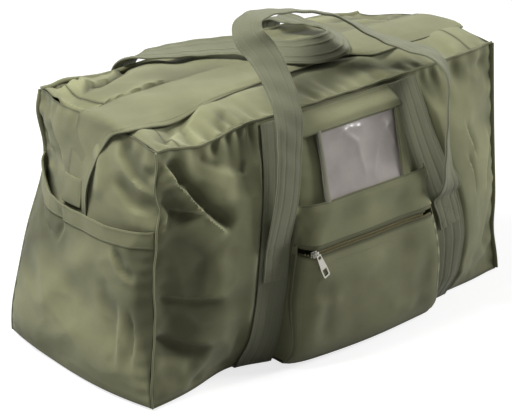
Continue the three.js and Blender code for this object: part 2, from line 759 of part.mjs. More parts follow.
const windowBandUpper = () => (
  windowBand(WINDOW_HEAD_Z - WINDOW_LAP, POCKET_HEAD - BAND_HEAD_CLEAR, (v) => 1 - v)
);
const BAND_FOOT_Z = POCKET_ZIP_Z + ZIP_OPENING_HALF + BAND_ZIP_CLEAR;
const windowBandLower = () => windowBand(BAND_FOOT_Z, WINDOW_FOOT_Z + WINDOW_LAP, (v) => v);

function windowSideStrip() {
  const stripLeft = WINDOW_RIGHT - WINDOW_LAP;
  const stripRight = stripLeft + SIDE_STRIP_WIDTH;
  return pocketSheet(
    WINDOW_FOOT_Z + WINDOW_LAP + GAP,
    WINDOW_HEAD_Z - WINDOW_LAP - GAP,
    (z) => [stripLeft, Math.min(stripRight, pocketSide('right', z) - SIDE_STRIP_CLEAR)],
    (u) => mix(FRAME_LIFT, onCanvas(), THREE.MathUtils.smoothstep(u, 0.45, 1)),
    CANVAS,
    6,
    4,
  );
}

function windowBinding() {
  return pocketSheet(
    WINDOW_FOOT_Z + WINDOW_LAP + GAP,
    WINDOW_HEAD_Z - WINDOW_LAP - GAP,
    () => [WINDOW_LEFT - BINDING_OVERHANG, WINDOW_LEFT - BINDING_OVERHANG + BINDING_WIDTH],
    () => FRAME_LIFT,
    BINDING_THICKNESS,
    1,
    5,
  );
}

// ---- Assembly ----

const bag = new THREE.Group();
bag.name = 'holdall';

function add(name, geometry, colour, place = V(0, 0, 0), finish = {}) {
  const material = new THREE.MeshStandardMaterial({ color: colour, roughness: 0.9, metalness: 0, ...finish });
  const mesh = new THREE.Mesh(geometry, material);
  mesh.name = name;
  mesh.position.copy(place);
  bag.add(mesh);
  return mesh;
}

const metal = { roughness: 0.35, metalness: 1 };
const clear = { roughness: 0.15, metalness: 0, transparent: true, opacity: 0.5 };

function addBody() {
  add('base_panel', basePanel(), COLOUR.canvas);
  for (const face of ['front', 'back']) {
    add(`${face}_panel`, facePanel(face), COLOUR.canvas);
    add(`top_seam_${face}`, topWelt(face), COLOUR.canvas);
  }
  for (const end of ['left', 'right']) {
    add(`end_panel_${end}`, endPanel(end), COLOUR.canvasLight);
    add(`top_margin_${end}`, topMargin(end), COLOUR.canvasLight);
    add(`end_pocket_${end}`, endPocket(end), COLOUR.canvasLight);
    add(`end_pocket_hem_${end}`, endHem(end), COLOUR.canvasLight);
    add(`storm_flap_tail_${end}`, flapTail(end), COLOUR.canvasLight);
    add(`end_tab_${end}`, endTab(end), COLOUR.canvasLight);
    for (const face of ['front', 'back']) {
      add(`corner_seam_${face}_${end}`, cornerWelt(end, face), COLOUR.canvas);
    }
  }
}

function addTop() {
  add('top_front_half', topFrontHalf(), COLOUR.canvasLight);
  add('top_back_half', topBackHalf(), COLOUR.canvasLight);
  add('storm_flap', stormFlap(), COLOUR.canvasLight);
}

function addMainZip() {
  const moving = OPENING_HALF_LENGTH - 2 * GAP;
  const fixed = MAIN_PARK_X + SLIDER_LENGTH / 2 + CHAIN_PAST_SLIDER;
  const chain = (half, row) => turned(zipChain(-half, half, row), FACING_UP);
  add('main_zip_tape_front', mainTape(moving, -1), COLOUR.canvas);
  add('main_zip_tape_back', mainTape(fixed, 1), COLOUR.canvas);
  add('main_zip_chain_front', chain(moving, -1), METAL.brass, MAIN_ZIP_AT, metal);
  add('main_zip_chain_back', chain(fixed, 1), METAL.brass, MAIN_ZIP_AT, metal);
  const park = MAIN_ZIP_AT.clone().setX(MAIN_PARK_X);
  add('main_zip_slider', turned(sliderBody(), FACING_UP), METAL.zinc, park, metal);
  const pull = pullTab(MAIN_PULL_LENGTH).translate(0, PLATE_FAR + PULL_STAND_OFF, 0);
  add('main_zip_pull', turned(pull, FACING_UP), METAL.zinc, park, metal);
}

function addPocket() {
  add('pocket_lower_panel', pocketLowerPanel(), COLOUR.canvas);
  add('pocket_upper_panel', pocketUpperPanel(), COLOUR.canvas);
  add('pocket_gusset_left', pocketGusset('left'), COLOUR.canvas);
  add('pocket_gusset_right', pocketGusset('right'), COLOUR.canvas);
  add('pocket_floor', pocketFloor(), COLOUR.canvas);
  add('window_sheet', windowSheet(), COLOUR.vinyl, V(0, 0, 0), clear);
  add('window_band_upper', windowBandUpper(), COLOUR.canvas);
  add('window_band_lower', windowBandLower(), COLOUR.canvas);
  add('window_side_strip', windowSideStrip(), COLOUR.canvas);
  add('window_binding', windowBinding(), COLOUR.webbing);
}

function addPocketZip() {
  const [left, right] = [POCKET_CHAIN_LEFT, POCKET_CHAIN_RIGHT];
  const [upperLeft, upperRight] = [POCKET_UPPER_LEFT, POCKET_UPPER_RIGHT];
  const chain = (from, to, row) => turned(zipChain(-to, -from, row), FACING_FRONT);
  add('pocket_zip_tape_lower', pocketTape(-1, left, right), COLOUR.canvas);
  add('pocket_zip_tape_upper', pocketTape(1, upperLeft, upperRight), COLOUR.canvas);
  add('pocket_zip_chain_lower', chain(left, right, -1), METAL.brass, POCKET_ZIP_AT, metal);
  add('pocket_zip_chain_upper', chain(upperLeft, upperRight, 1), METAL.brass, POCKET_ZIP_AT, metal);
  const park = POCKET_ZIP_AT.clone().setX(POCKET_PARK_X);
  add('pocket_zip_slider', turned(sliderBody(), FACING_FRONT), METAL.zinc, park, metal);
  const pull = pullTab(POCKET_PULL_LENGTH).rotateX(pocketPullLean()).rotateY(POCKET_PULL_TILT);
  pull.translate(0, PLATE_FAR + PULL_STAND_OFF, 0);
  add('pocket_zip_pull', turned(pull, FACING_FRONT), METAL.zinc, park, metal);
}

function addStrapsAndHandles() {
  for (const side of ['left', 'right']) {
    add(`base_strap_${side}`, baseStrap(side), COLOUR.webbing);
    for (const face of ['front', 'back']) {
      add(`strap_${face}_${side}`, faceStrap(side, face), COLOUR.webbing);
      add(`handle_patch_${face}_${side}`, handlePatch(side, face), COLOUR.webbing);
    }
  }
  add('front_handle', frontHandle(), COLOUR.webbing);
  add('back_handle', backHandle(), COLOUR.webbing);
}

// The origin is under the middle of the whole bag, on the ground.
function centreOnGround() {
  bag.updateMatrixWorld(true);
  const middle = new THREE.Box3().setFromObject(bag, true).getCenter(V());
  bag.position.set(-middle.x, -middle.y, 0);
  bag.updateMatrixWorld(true);
}

addBody();
addTop();
addMainZip();
addPocket();
addPocketZip();
addStrapsAndHandles();
centreOnGround();

export default bag;
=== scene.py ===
"""A stuffed canvas holdall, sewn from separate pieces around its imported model.

Metres. +X runs along the bag, -Y is the front with the zipped pocket, +Z is up.
Every cloth piece is a fine grid laid on the bag's stuffed shape, then thickened.
"""

import json
import math

import bpy
import numpy as np
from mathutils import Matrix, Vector, noise

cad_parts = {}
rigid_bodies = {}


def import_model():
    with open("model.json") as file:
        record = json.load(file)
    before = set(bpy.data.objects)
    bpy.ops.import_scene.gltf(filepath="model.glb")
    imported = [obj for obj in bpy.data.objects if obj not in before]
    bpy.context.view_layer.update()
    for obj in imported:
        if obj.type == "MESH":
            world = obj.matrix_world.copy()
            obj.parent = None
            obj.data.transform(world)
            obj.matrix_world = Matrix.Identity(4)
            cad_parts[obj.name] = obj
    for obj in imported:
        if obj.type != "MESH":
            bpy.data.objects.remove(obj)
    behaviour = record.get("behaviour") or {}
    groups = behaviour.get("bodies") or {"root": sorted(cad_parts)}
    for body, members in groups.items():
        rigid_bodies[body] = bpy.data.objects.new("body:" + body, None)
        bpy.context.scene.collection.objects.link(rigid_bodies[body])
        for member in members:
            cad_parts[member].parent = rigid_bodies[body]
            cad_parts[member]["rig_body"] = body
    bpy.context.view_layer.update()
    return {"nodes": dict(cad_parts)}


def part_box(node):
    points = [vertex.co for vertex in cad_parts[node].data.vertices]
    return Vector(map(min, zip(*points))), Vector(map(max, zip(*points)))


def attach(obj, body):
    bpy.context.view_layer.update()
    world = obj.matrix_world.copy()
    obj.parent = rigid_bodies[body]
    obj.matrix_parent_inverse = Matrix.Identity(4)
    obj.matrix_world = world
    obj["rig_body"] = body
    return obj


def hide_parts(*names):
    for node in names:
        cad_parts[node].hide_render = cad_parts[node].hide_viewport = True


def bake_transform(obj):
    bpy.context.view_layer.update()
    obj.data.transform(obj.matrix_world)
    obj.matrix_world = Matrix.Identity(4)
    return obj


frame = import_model()

bl_info = {
    "name": "Canvas Holdall",
    "version": (1, 0, 0),
    "blender": (4, 5, 0),
    "location": "3D View > Sidebar > Holdall",
    "description": "Makes a canvas holdall's cloth, straps, zips and window on its packed model",
    "category": "Object",
}

MM = 0.001


# ---- The stuffed shape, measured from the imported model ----

def box(node):
    """A node's two corners, as arrays."""
    low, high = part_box(node)
    return np.array(low), np.array(high)


BASE_LOW, BASE_HIGH = box("base_panel")
SEAM_LOW, SEAM_HIGH = box("top_seam_front")
PANEL_LOW, PANEL_HIGH = box("front_panel")
MIDDLE_Y = (BASE_LOW[1] + BASE_HIGH[1]) / 2
HALF_BASE_X = (BASE_HIGH[0] - BASE_LOW[0]) / 2
HALF_BASE_Y = (BASE_HIGH[1] - BASE_LOW[1]) / 2
HALF_TOP_X = (SEAM_HIGH[0] - SEAM_LOW[0]) / 2
HALF_TOP_Y = MIDDLE_Y - (SEAM_LOW[1] + SEAM_HIGH[1]) / 2
SEAM_Z = PANEL_HIGH[2]
FOOT_Z = PANEL_LOW[2]
TOP_CROWN = 14 * MM
FACE_SWELL = 22 * MM
END_SWELL = 14 * MM
CANVAS = 1.5 * MM
WEBBING = 2.2 * MM
AIR = 0.5 * MM

STRAP_WIDTH = 60 * MM
STRAP_CENTRE_X = 8 * MM
STRAP_OUT_BASE = 185 * MM
STRAP_OUT_TOP = 131 * MM
HANDLE_WIDTH = 48 * MM
HANDLE_THICKNESS = 3 * MM

SIGN = {"left": -1, "right": 1, "front": -1, "back": 1}


def smooth(value, low, high):
    """0 below low, 1 above high, and an even rise between them."""
    t = np.clip((value - low) / (high - low), 0, 1)
    return t * t * (3 - 2 * t)


def mix(a, b, t):
    return a + (b - a) * t


def plateau(share, power):
    """1 in the middle, level over more of it with a higher power, and 0 at -1 and 1."""
    return 1 - np.minimum(np.abs(share), 1) ** power


def risen(z):
    """0 at the foot and 1 at the top seam."""
    return np.clip(z / SEAM_Z, 0, 1)


def half_length(z):
    return mix(HALF_BASE_X, HALF_TOP_X, risen(z))


def half_depth(z):
    return mix(HALF_BASE_Y, HALF_TOP_Y, risen(z))


def swell(share):
    return plateau(2 * np.clip(share, 0, 1) - 1, 2.5)


def crown(y):
    """The top's height, at y from the bag's middle."""
    return SEAM_Z + TOP_CROWN * plateau(y / HALF_TOP_Y, 2)


def face_out(x, z):
    """How far the front or back stands from the bag's middle."""
    return half_depth(z) + FACE_SWELL * plateau(x / half_length(z), 4) * swell(risen(z))


# The filling bulges the front beside the pocket's right edge, by so many millimetres
# at each height. The bulge falls off to its left and right over these widths.
BULGE_X = 205 * MM
BULGE_LEFT = 48 * MM
BULGE_RIGHT = 80 * MM
BULGE_HEIGHTS = [(0, 0), (50, 18), (120, 24), (200, 19), (270, 11), (330, 5), (398, 0)]


def bulge(x, z):
    heights, out = zip(*BULGE_HEIGHTS)
    rise = np.interp(z / MM, heights, out) * MM
    left = np.exp(-((x - BULGE_X) / BULGE_LEFT) ** 2)
    right = np.exp(-((x - BULGE_X) / BULGE_RIGHT) ** 2)
    ends = smooth(half_length(z) - x, 0, 60 * MM)
    return rise * np.where(x < BULGE_X, left, right) * ends


def end_out(y, z):
    """How far an end stands from the bag's middle."""
    return half_length(z) + END_SWELL * plateau(y / half_depth(z), 4) * swell(z / crown(y))


# Where the filling has settled: each slump pushes every layer near it. Millimetres,
# with y from the bag's middle.
SLUMPS = [
    {"at": (-262, -128, 400), "reach": (46, 70, 60), "push": (0, 3, -15)},
    {"at": (-322, 85, 412), "reach": (26, 75, 30), "push": (0, 0, -10)},
    {"at": (-215, 150, 412), "reach": (60, 22, 30), "push": (0, 0, -6)},
    {"at": (60, -112, 408), "reach": (150, 50, 30), "push": (0, 0, -4)},
    {"at": (-352, 150, 290), "reach": (70, 85, 95), "push": (33, -8, 4)},
    {"at": (-352, 168, 405), "reach": (50, 56, 28), "push": (15, -4, 3)},
    {"at": (-290, 165, 405), "reach": (80, 60, 50), "push": (0, 0, 10)},
    {"at": (-372, -30, 20), "reach": (70, 220, 85), "push": (-32, 0, 0)},
    {"at": (-340, -170, 160), "reach": (75, 60, 130), "push": (2, 14, 0)},
    {"at": (-350, -40, 0), "reach": (80, 160, 40), "push": (-5, -5, 0)},
    {"at": (-372, 140, 40), "reach": (60, 90, 90), "push": (-4, 5, 0)},
    {"at": (-218, -165, 0), "reach": (70, 60, 45), "push": (0, 20, 6)},
    {"at": (-358, -165, 305), "reach": (40, 40, 16), "push": (7, 2, 0)},
    {"at": (-358, -165, 342), "reach": (40, 40, 18), "push": (-4, 0, 0)},
    {"at": (-358, -165, 190), "reach": (40, 40, 40), "push": (-4, 0, 0)},
    {"at": (356, -165, 210), "reach": (42, 60, 240), "push": (9, 14, 0)},
    {"at": (355, -150, 75), "reach": (40, 60, 40), "push": (-8, 0, 0)},
    {"at": (200, -205, 150), "reach": (75, 95, 130), "push": (27, -5, 0)},
    {"at": (190, 120, 420), "reach": (170, 100, 50), "push": (0, 0, -9)},
    {"at": (335, 100, 415), "reach": (110, 90, 50), "push": (0, 0, -13)},
    {"at": (350, 150, 400), "reach": (55, 55, 45), "push": (-12, -10, -8)},
    {"at": (20, -212, 20), "reach": (150, 40, 40), "push": (0, -16, 0)},
]


def slump(points):
    """Moves points, measured from the bag's middle, with the settled filling."""
    moved = points.copy()
    for dent in SLUMPS:
        at, reach, push = (np.array(dent[key]) for key in ("at", "reach", "push"))
        far = (((points / MM) - at) / reach) ** 2
        moved += np.exp(-far.sum(axis=1))[:, None] * push * MM
    return moved


def on_front(x, z, lift=0.0, face="front"):
    """Points on the front or back face, lifted off it."""
    side = SIGN[face]
    out = face_out(x, z) + (bulge(x, z) if face == "front" else 0)
    points = np.column_stack([x, side * (out + lift), z])
    return to_frame(slump(points))


def on_end(y, z, lift=0.0, end="left"):
    points = np.column_stack([SIGN[end] * (end_out(y, z) + lift), y, z])
    return to_frame(slump(points))


def on_top(x, y, lift=0.0):
    points = np.column_stack([x, y, crown(y) + lift])
    return to_frame(slump(points))


def to_frame(points):
    """From the bag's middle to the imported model's frame."""
    return points + np.array([0, MIDDLE_Y, 0])


# ---- Folds ----

def fold_field(a, b, folds):
    """How far folds lift a cloth at places (a, b), in metres. Each fold has a path in
    millimetres, a height and a width. One with a drop falls steeply on the path's left,
    and comes back level over its back."""
    total = np.zeros(len(a))
    here = np.column_stack([a, b]) / MM
    for fold in folds:
        path = np.array(fold["path"], float)
        lengths = np.linalg.norm(np.diff(path, axis=0), axis=1)
        whole = lengths.sum()
        nearest = np.full(len(a), 1e9)
        along = np.zeros(len(a))
        side = np.ones(len(a))
        for start, step, length, before in zip(
            path, np.diff(path, axis=0), lengths, np.cumsum(lengths) - lengths
        ):
            t = np.clip(((here - start) @ step) / length ** 2, 0, 1)
            away = np.linalg.norm(here - start - t[:, None] * step, axis=1)
            closer = away < nearest
            nearest[closer] = away[closer]
            along[closer] = (before + t[closer] * length) / whole
            turn = step[0] * (here[:, 1] - start[1]) - step[1] * (here[:, 0] - start[0])
            side[closer] = np.sign(turn[closer])
        fade = fold.get("fade", 0.25)
        ends = smooth(along, -0.001, fade) * (1 - smooth(along, 1 - fade, 1.001))
        spread = nearest / fold["width"]
        if "drop" in fold:
            fall = smooth(spread, 0, 1)
            beyond = np.maximum(nearest - fold["width"], 0) / fold["back"]
            low = fold["drop"] * fall * np.exp(-beyond ** 2)
            steep = fold["height"] * (1 - fall) - low
            rise = np.where(side > 0, steep, fold["height"] * np.exp(-spread / 2.4))
            total += rise * MM * ends
            continue
        crest = np.exp(-spread) if fold.get("sharp") else np.exp(-spread ** 2)
        total += fold["height"] * MM * crest * ends
    return total * bpy.context.scene.holdall_sizes.folds


def ripple(points, size, height, seed):
    """Soft unevenness of stuffed cloth, the same on every run."""
    shift = Vector((seed * 7.3, seed * 3.1, seed * 1.7))
    return height * np.array([noise.noise(Vector(p) / size + shift) for p in points])


def crumple(points, size, height, seed):
    """Creased unevenness, with narrow ridges between broad hollows."""
    shift = Vector((seed * 5.9, seed * 2.3, seed * 4.1))
    flat = np.array([noise.noise(Vector(p) / size + shift) for p in points])
    return height * (0.55 - 2.2 * np.abs(flat))


def pucker(along, away, pitch, height, reach, seed=0.0):
    """Small gathers beside a seam: along it, and away from it, in metres."""
    wave = np.sin(2 * math.pi * along / pitch + 2.1 * np.sin(along / pitch * 0.9 + seed))
    at_seam = 1 - np.exp(-away / (3.5 * MM))
    return height * 1.5 * wave * np.exp(-away / reach) * at_seam


# ---- Cloth pieces ----

def deselect():
    bpy.ops.object.select_all(action="DESELECT")


def only(piece):
    """Selects one piece and makes it active."""
    deselect()
    piece.select_set(True)
    bpy.context.view_layer.objects.active = piece


def let_go(piece):
    """Takes a piece off its body."""
    piece.parent = None
    del piece["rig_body"]


def leave_out(piece, faces):
    """Deletes the faces with these numbers."""
    only(piece)
    bpy.ops.object.mode_set(mode="EDIT")
    bpy.ops.mesh.select_mode(type="FACE")
    bpy.ops.mesh.select_all(action="DESELECT")
    bpy.ops.object.mode_set(mode="OBJECT")
    for index in faces:
        piece.data.polygons[index].select = True
    bpy.ops.object.mode_set(mode="EDIT")
    bpy.ops.mesh.delete(type="FACE")
    bpy.ops.object.mode_set(mode="OBJECT")


def points_of(piece):
    flat = np.empty(len(piece.data.vertices) * 3)
    piece.data.vertices.foreach_get("co", flat)
    return flat.reshape(-1, 3)


def set_points(piece, points):
    piece.data.vertices.foreach_set("co", np.ascontiguousarray(points, float).ravel())
    piece.data.update()


def apply_modifiers(piece):
    only(piece)
    for modifier in list(piece.modifiers):
        bpy.ops.object.modifier_apply(modifier=modifier.name)


def round_edges(piece, width, segments, turn=30):
    """Rounds the edges at which faces turn by more than so many degrees."""
    bevel = piece.modifiers.new("round", "BEVEL")
    bevel.width = width
    bevel.segments = segments
    bevel.limit_method = "ANGLE"
    bevel.angle_limit = math.radians(turn)


def cloth_grid(name, place, across, up):
    """A grid of cloth. place(u, v) gives its outer side for u and v from 0 to 1."""
    deselect()
    bpy.ops.mesh.primitive_grid_add(x_subdivisions=across, y_subdivisions=up, size=1)
    piece = bpy.context.active_object
    piece.name = name
    piece.data.name = name
    start = points_of(piece)
    set_points(piece, place(start[:, 0] + 0.5, start[:, 1] + 0.5))
    scale_uv(piece, place)
    return piece


def span(place, from_uv, to_uv, steps=24):
    """The length over the cloth between two places on it."""
    t = np.linspace(0, 1, steps)
    line = place(mix(from_uv[0], to_uv[0], t), mix(from_uv[1], to_uv[1], t))
    return np.linalg.norm(np.diff(line, axis=0), axis=1).sum()


def scale_uv(piece, place):
    """Makes the cloth's own coordinates metres, so that its weave has one size."""
    layer = piece.data.uv_layers.active
    flat = np.empty(len(piece.data.loops) * 2)
    layer.data.foreach_get("uv", flat)
    uv = flat.reshape(-1, 2)
    uv *= (span(place, (0, 0.5), (1, 0.5)), span(place, (0.5, 0), (0.5, 1)))
    layer.data.foreach_set("uv", uv.ravel())


def thicken(piece, thickness, rim=0.0):
    """Thickens cloth inwards, and rounds its cut edges."""
    solid = piece.modifiers.new("thickness", "SOLIDIFY")
    solid.thickness = thickness
    solid.offset = -1
    solid.use_even_offset = False
    if rim:
        round_edges(piece, rim, 2, 50)
    apply_modifiers(piece)
    bpy.ops.object.shade_smooth_by_angle(angle=math.radians(50))


# How deep the painted shade along a seam shows, as if the cloth lay so much lower, and its width.
SEAM_SHADE_DEPTH = 9 * MM
SEAM_SHADE_REACH = 2.5 * MM


def mark_wear_and_shade(piece, raised):
    """Keeps how far each point stands off the even shape: ridges show lighter as rubbed
    wear, hollows darker as painted shade, and a line of painted shade runs along each seam."""
    count = len(piece.data.loops)
    flat, owner = np.empty(count * 2), np.empty(count, int)
    piece.data.uv_layers.active.data.foreach_get("uv", flat)
    piece.data.loops.foreach_get("vertex_index", owner)
    uv = flat.reshape(-1, 2)
    far = np.minimum(uv, uv.max(axis=0) - uv).min(axis=1)
    inward = np.empty(len(piece.data.vertices))
    inward[owner] = far
    # Painted shade: a dark line along the cloth's seams, where it meets the next piece.
    dirt_and_shade = SEAM_SHADE_DEPTH * np.exp(-(inward / SEAM_SHADE_REACH) ** 2)
    attribute = piece.data.attributes.new("wear_and_shade", "FLOAT", "POINT")
    attribute.data.foreach_set("value", (raised - dirt_and_shade).astype(np.float32))


def finish_piece(piece, body, nodes, material):
    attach(piece, body)
    if nodes:
        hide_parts(*nodes)
    piece.data.materials.clear()
    piece.data.materials.append(material)
    return piece


def normals_at(place, u, v, step=0.002):
    """The cloth's outward direction at places on it."""
    du = place(np.minimum(u + step, 1), v) - place(np.maximum(u - step, 0), v)
    dv = place(u, np.minimum(v + step, 1)) - place(u, np.maximum(v - step, 0))
    normal = np.cross(du, dv)
    return normal / np.maximum(np.linalg.norm(normal, axis=1), 1e-12)[:, None]


def lifted(place, field):
    """A place function whose cloth is moved out along its normal by field(u, v)."""
    def moved(u, v):
        return place(u, v) + normals_at(place, u, v, 0.01) * field(u, v)[:, None]
    return moved


# ---- Stitches ----

STITCH_LENGTH = 3.4 * MM
STITCH_PITCH = 4.6 * MM
STITCH_WIDTH = 0.9 * MM
STITCH_SIZE = (STITCH_LENGTH, STITCH_WIDTH, STITCH_WIDTH * 0.7)
STITCH_ROUNDING = STITCH_WIDTH * 0.3


def block_shape(size, rounding, head=1.0):
    """A small rounded block, as points and faces. Towards +Y it narrows to its head."""
    deselect()
    bpy.ops.mesh.primitive_cube_add(size=1)
    block = bpy.context.active_object
    at = points_of(block)
    at[at[:, 1] > 0, 0] *= head
    set_points(block, at * size)
    round_edges(block, rounding, 1)
    apply_modifiers(block)
    shape = points_of(block)
    faces = [tuple(face.vertices) for face in block.data.polygons]
    bpy.data.objects.remove(block)
    return shape, faces


def repeat(name, shape, faces, places, turns):
    """One mesh of many copies of a shape, each at a place, turned by its own axes."""
    at = np.concatenate([place + shape @ turn for place, turn in zip(places, turns)])
    index = [tuple(i + n * len(shape) for i in face) for n in range(len(places)) for face in faces]
    mesh = bpy.data.meshes.new(name)
    mesh.from_pydata(at.tolist(), [], index)
    piece = bpy.data.objects.new(name, mesh)
    bpy.context.collection.objects.link(piece)
    return piece


def sew(name, body, rows, material):
    """Rows of stitches. Each row is a place function and two ends on it, in (u, v)."""
    shape, faces = block_shape(STITCH_SIZE, STITCH_ROUNDING)
    places, turns = [], []
    for place, start, end in rows:
        length = span(place, start, end)
        count = max(2, int(length / STITCH_PITCH))
        t = (np.arange(count) + 0.5) / count
        u, v = mix(start[0], end[0], t), mix(start[1], end[1], t)
        half = 0.5 * STITCH_LENGTH / length
        ahead = place(u + (end[0] - start[0]) * half, v + (end[1] - start[1]) * half)
        behind = place(u - (end[0] - start[0]) * half, v - (end[1] - start[1]) * half)
        along = ahead - behind
        along /= np.maximum(np.linalg.norm(along, axis=1), 1e-12)[:, None]
        out = normals_at(place, u, v)
        side = np.cross(out, along)
        places.extend(place(u, v) + out * STITCH_WIDTH * 0.12)
        turns.extend(np.stack([along, side, out], axis=1))
    piece = repeat(name, shape, faces, places, turns)
    return finish_piece(piece, body, (), material)


# ---- Materials ----

class Nodes:
    """Short calls for the node tree of a material or of the world."""

    def __init__(self, owner):
        owner.use_nodes = True
        self.tree = owner.node_tree

    def add(self, kind, **values):
        node = self.tree.nodes.new(kind)
        for name, value in values.items():
            setattr(node, name, value)
        return node

    def link(self, output, entry):
        self.tree.links.new(output, entry)

    def math(self, operation, first, second=None, third=None):
        node = self.add("ShaderNodeMath", operation=operation)
        for entry, value in zip(node.inputs, (first, second, third)):
            if value is None:
                continue
            if isinstance(value, (int, float)):
                entry.default_value = value
            else:
                self.link(value, entry)
        return node.outputs[0]

    def noise(self, coordinates, scale, detail=3.0, rough=0.5):
        node = self.add("ShaderNodeTexNoise")
        node.inputs["Scale"].default_value = scale
        node.inputs["Detail"].default_value = detail
        node.inputs["Roughness"].default_value = rough
        self.link(coordinates, node.inputs["Vector"])
        return node.outputs["Fac"]

    def tone(self, colour, amount, factor):
        """Scales a colour's value from 1 - amount to 1 + amount as factor goes 0 to 1."""
        scale = self.math("MULTIPLY_ADD", factor, 2 * amount, 1 - amount)
        node = self.add("ShaderNodeVectorMath", operation="SCALE")
        if isinstance(colour, tuple):
            node.inputs[0].default_value = colour
        else:
            self.link(colour, node.inputs[0])
        self.link(scale, node.inputs["Scale"])
        return node.outputs[0]

    def bump(self, height, distance, strength=1.0, normal=None):
        node = self.add("ShaderNodeBump")
        node.inputs["Distance"].default_value = distance
        node.inputs["Strength"].default_value = strength
        self.link(height, node.inputs["Height"])
        if normal is not None:
            self.link(normal, node.inputs["Normal"])
        return node.outputs["Normal"]


class Finish(Nodes):
    """A new material with its shader."""

    def __init__(self, name):
        self.material = bpy.data.materials.new(name)
        super().__init__(self.material)
        self.shader = self.tree.nodes["Principled BSDF"]


# Painted shade at the foot, painted light higher up: colour scales from 1 - this to 1 + this at the
# next height and above.
HEIGHT_SHADE_AND_LIGHT = 0.20
HEIGHT_SHADE_AND_LIGHT_TOP = 240 * MM
# How much the rubbed ridges lighten, as wear, and the hollows and seams darken, as painted shade.
WEAR_AND_SHADE_TONE = 0.40


def woven(name, colour, pitch, contrast, depth, wear_and_shade=0.0):
    """A matt woven cloth: threads over and under, uneven dye and rubbed ridges, with painted
    shade in hollows, along seams and near the foot, and painted light higher up.
    """
    nodes = Finish(name)
    where = nodes.add("ShaderNodeTexCoord")
    split = nodes.add("ShaderNodeSeparateXYZ")
    nodes.link(where.outputs["UV"], split.inputs[0])
    turns = 2 * math.pi / pitch
    warp = nodes.math("SINE", nodes.math("MULTIPLY", split.outputs[0], turns))
    weft = nodes.math("SINE", nodes.math("MULTIPLY", split.outputs[1], turns))
    threads = nodes.math("MULTIPLY_ADD", nodes.math("MULTIPLY", warp, weft), 0.5, 0.5)
    place = where.outputs["Object"]
    shade = nodes.tone(tuple(colour), contrast, nodes.noise(place, 7.0, 4.0, 0.6))
    shade = nodes.tone(shade, contrast * 0.8, nodes.noise(place, 45.0, 3.0, 0.6))
    shade = nodes.tone(shade, 0.10, nodes.noise(place, 900.0, 2.0, 0.7))
    shade = nodes.tone(shade, 0.07, threads)
    height = nodes.add("ShaderNodeSeparateXYZ")
    nodes.link(place, height.inputs[0])
    # Painted shade near the floor and painted light higher up, by height.
    height_lit_share = nodes.math("MINIMUM", nodes.math("DIVIDE", height.outputs[2], HEIGHT_SHADE_AND_LIGHT_TOP), 1.0)
    shade = nodes.tone(shade, HEIGHT_SHADE_AND_LIGHT, height_lit_share)
    # Rubbed ridges lighter as wear; hollows and seams darker as painted shade.
    if wear_and_shade:
        wear_and_shade_node = nodes.add("ShaderNodeAttribute", attribute_name="wear_and_shade")
        level = nodes.math("MULTIPLY_ADD", wear_and_shade_node.outputs["Fac"], wear_and_shade, 0.5)
        level = nodes.math("MINIMUM", nodes.math("MAXIMUM", level, 0.0), 1.0)
        shade = nodes.tone(shade, WEAR_AND_SHADE_TONE, level)
    nodes.link(shade, nodes.shader.inputs["Base Color"])
    slub = nodes.noise(place, 300.0, 2.0)
    normal = nodes.bump(slub, 0.25 * MM, 0.6)
    nodes.link(nodes.bump(threads, depth, 0.8, normal), nodes.shader.inputs["Normal"])
    nodes.shader.inputs["Roughness"].default_value = 0.92
    nodes.shader.inputs["Specular IOR Level"].default_value = 0.2
    nodes.shader.inputs["Sheen Weight"].default_value = 0.12
    nodes.shader.inputs["Sheen Roughness"].default_value = 0.6
    return nodes.material


def worn_metal(name, colour, rough, dirt_and_shade):
    """Plated metal with fine scratches and dull patches."""
    nodes = Finish(name)
    where = nodes.add("ShaderNodeTexCoord").outputs["Object"]
    patches = nodes.noise(where, 260.0, 4.0, 0.7)
    nodes.link(nodes.tone(tuple(colour), dirt_and_shade, patches), nodes.shader.inputs["Base Color"])
    spread = nodes.math("MULTIPLY_ADD", patches, 0.3, rough)
    nodes.link(spread, nodes.shader.inputs["Roughness"])
    scratches = nodes.noise(where, 2600.0, 2.0)
    nodes.link(nodes.bump(scratches, 0.03 * MM, 0.5), nodes.shader.inputs["Normal"])
    nodes.shader.inputs["Metallic"].default_value = 1.0
    return nodes.material


def clear_vinyl(name, colour):
    """Soft clouded vinyl that lets some of the cloth behind it show."""
    nodes = Finish(name)
    where = nodes.add("ShaderNodeTexCoord").outputs["Object"]
    clouds = nodes.noise(where, 28.0, 3.0, 0.55)
    nodes.link(nodes.tone(tuple(colour), 0.22, clouds), nodes.shader.inputs["Base Color"])
    smears = nodes.noise(where, 90.0, 3.0, 0.6)
    nodes.link(nodes.math("MULTIPLY_ADD", smears, 0.22, 0.10), nodes.shader.inputs["Roughness"])
    waves = nodes.noise(where, 55.0, 2.0, 0.5)
    nodes.link(nodes.bump(waves, 1.2 * MM, 0.5), nodes.shader.inputs["Normal"])
    nodes.shader.inputs["Alpha"].default_value = 0.8
    nodes.shader.inputs["Coat Weight"].default_value = 0.25
    nodes.shader.inputs["Coat Roughness"].default_value = 0.1
    nodes.shader.inputs["Specular IOR Level"].default_value = 0.35
    return nodes.material


MATERIALS = {}


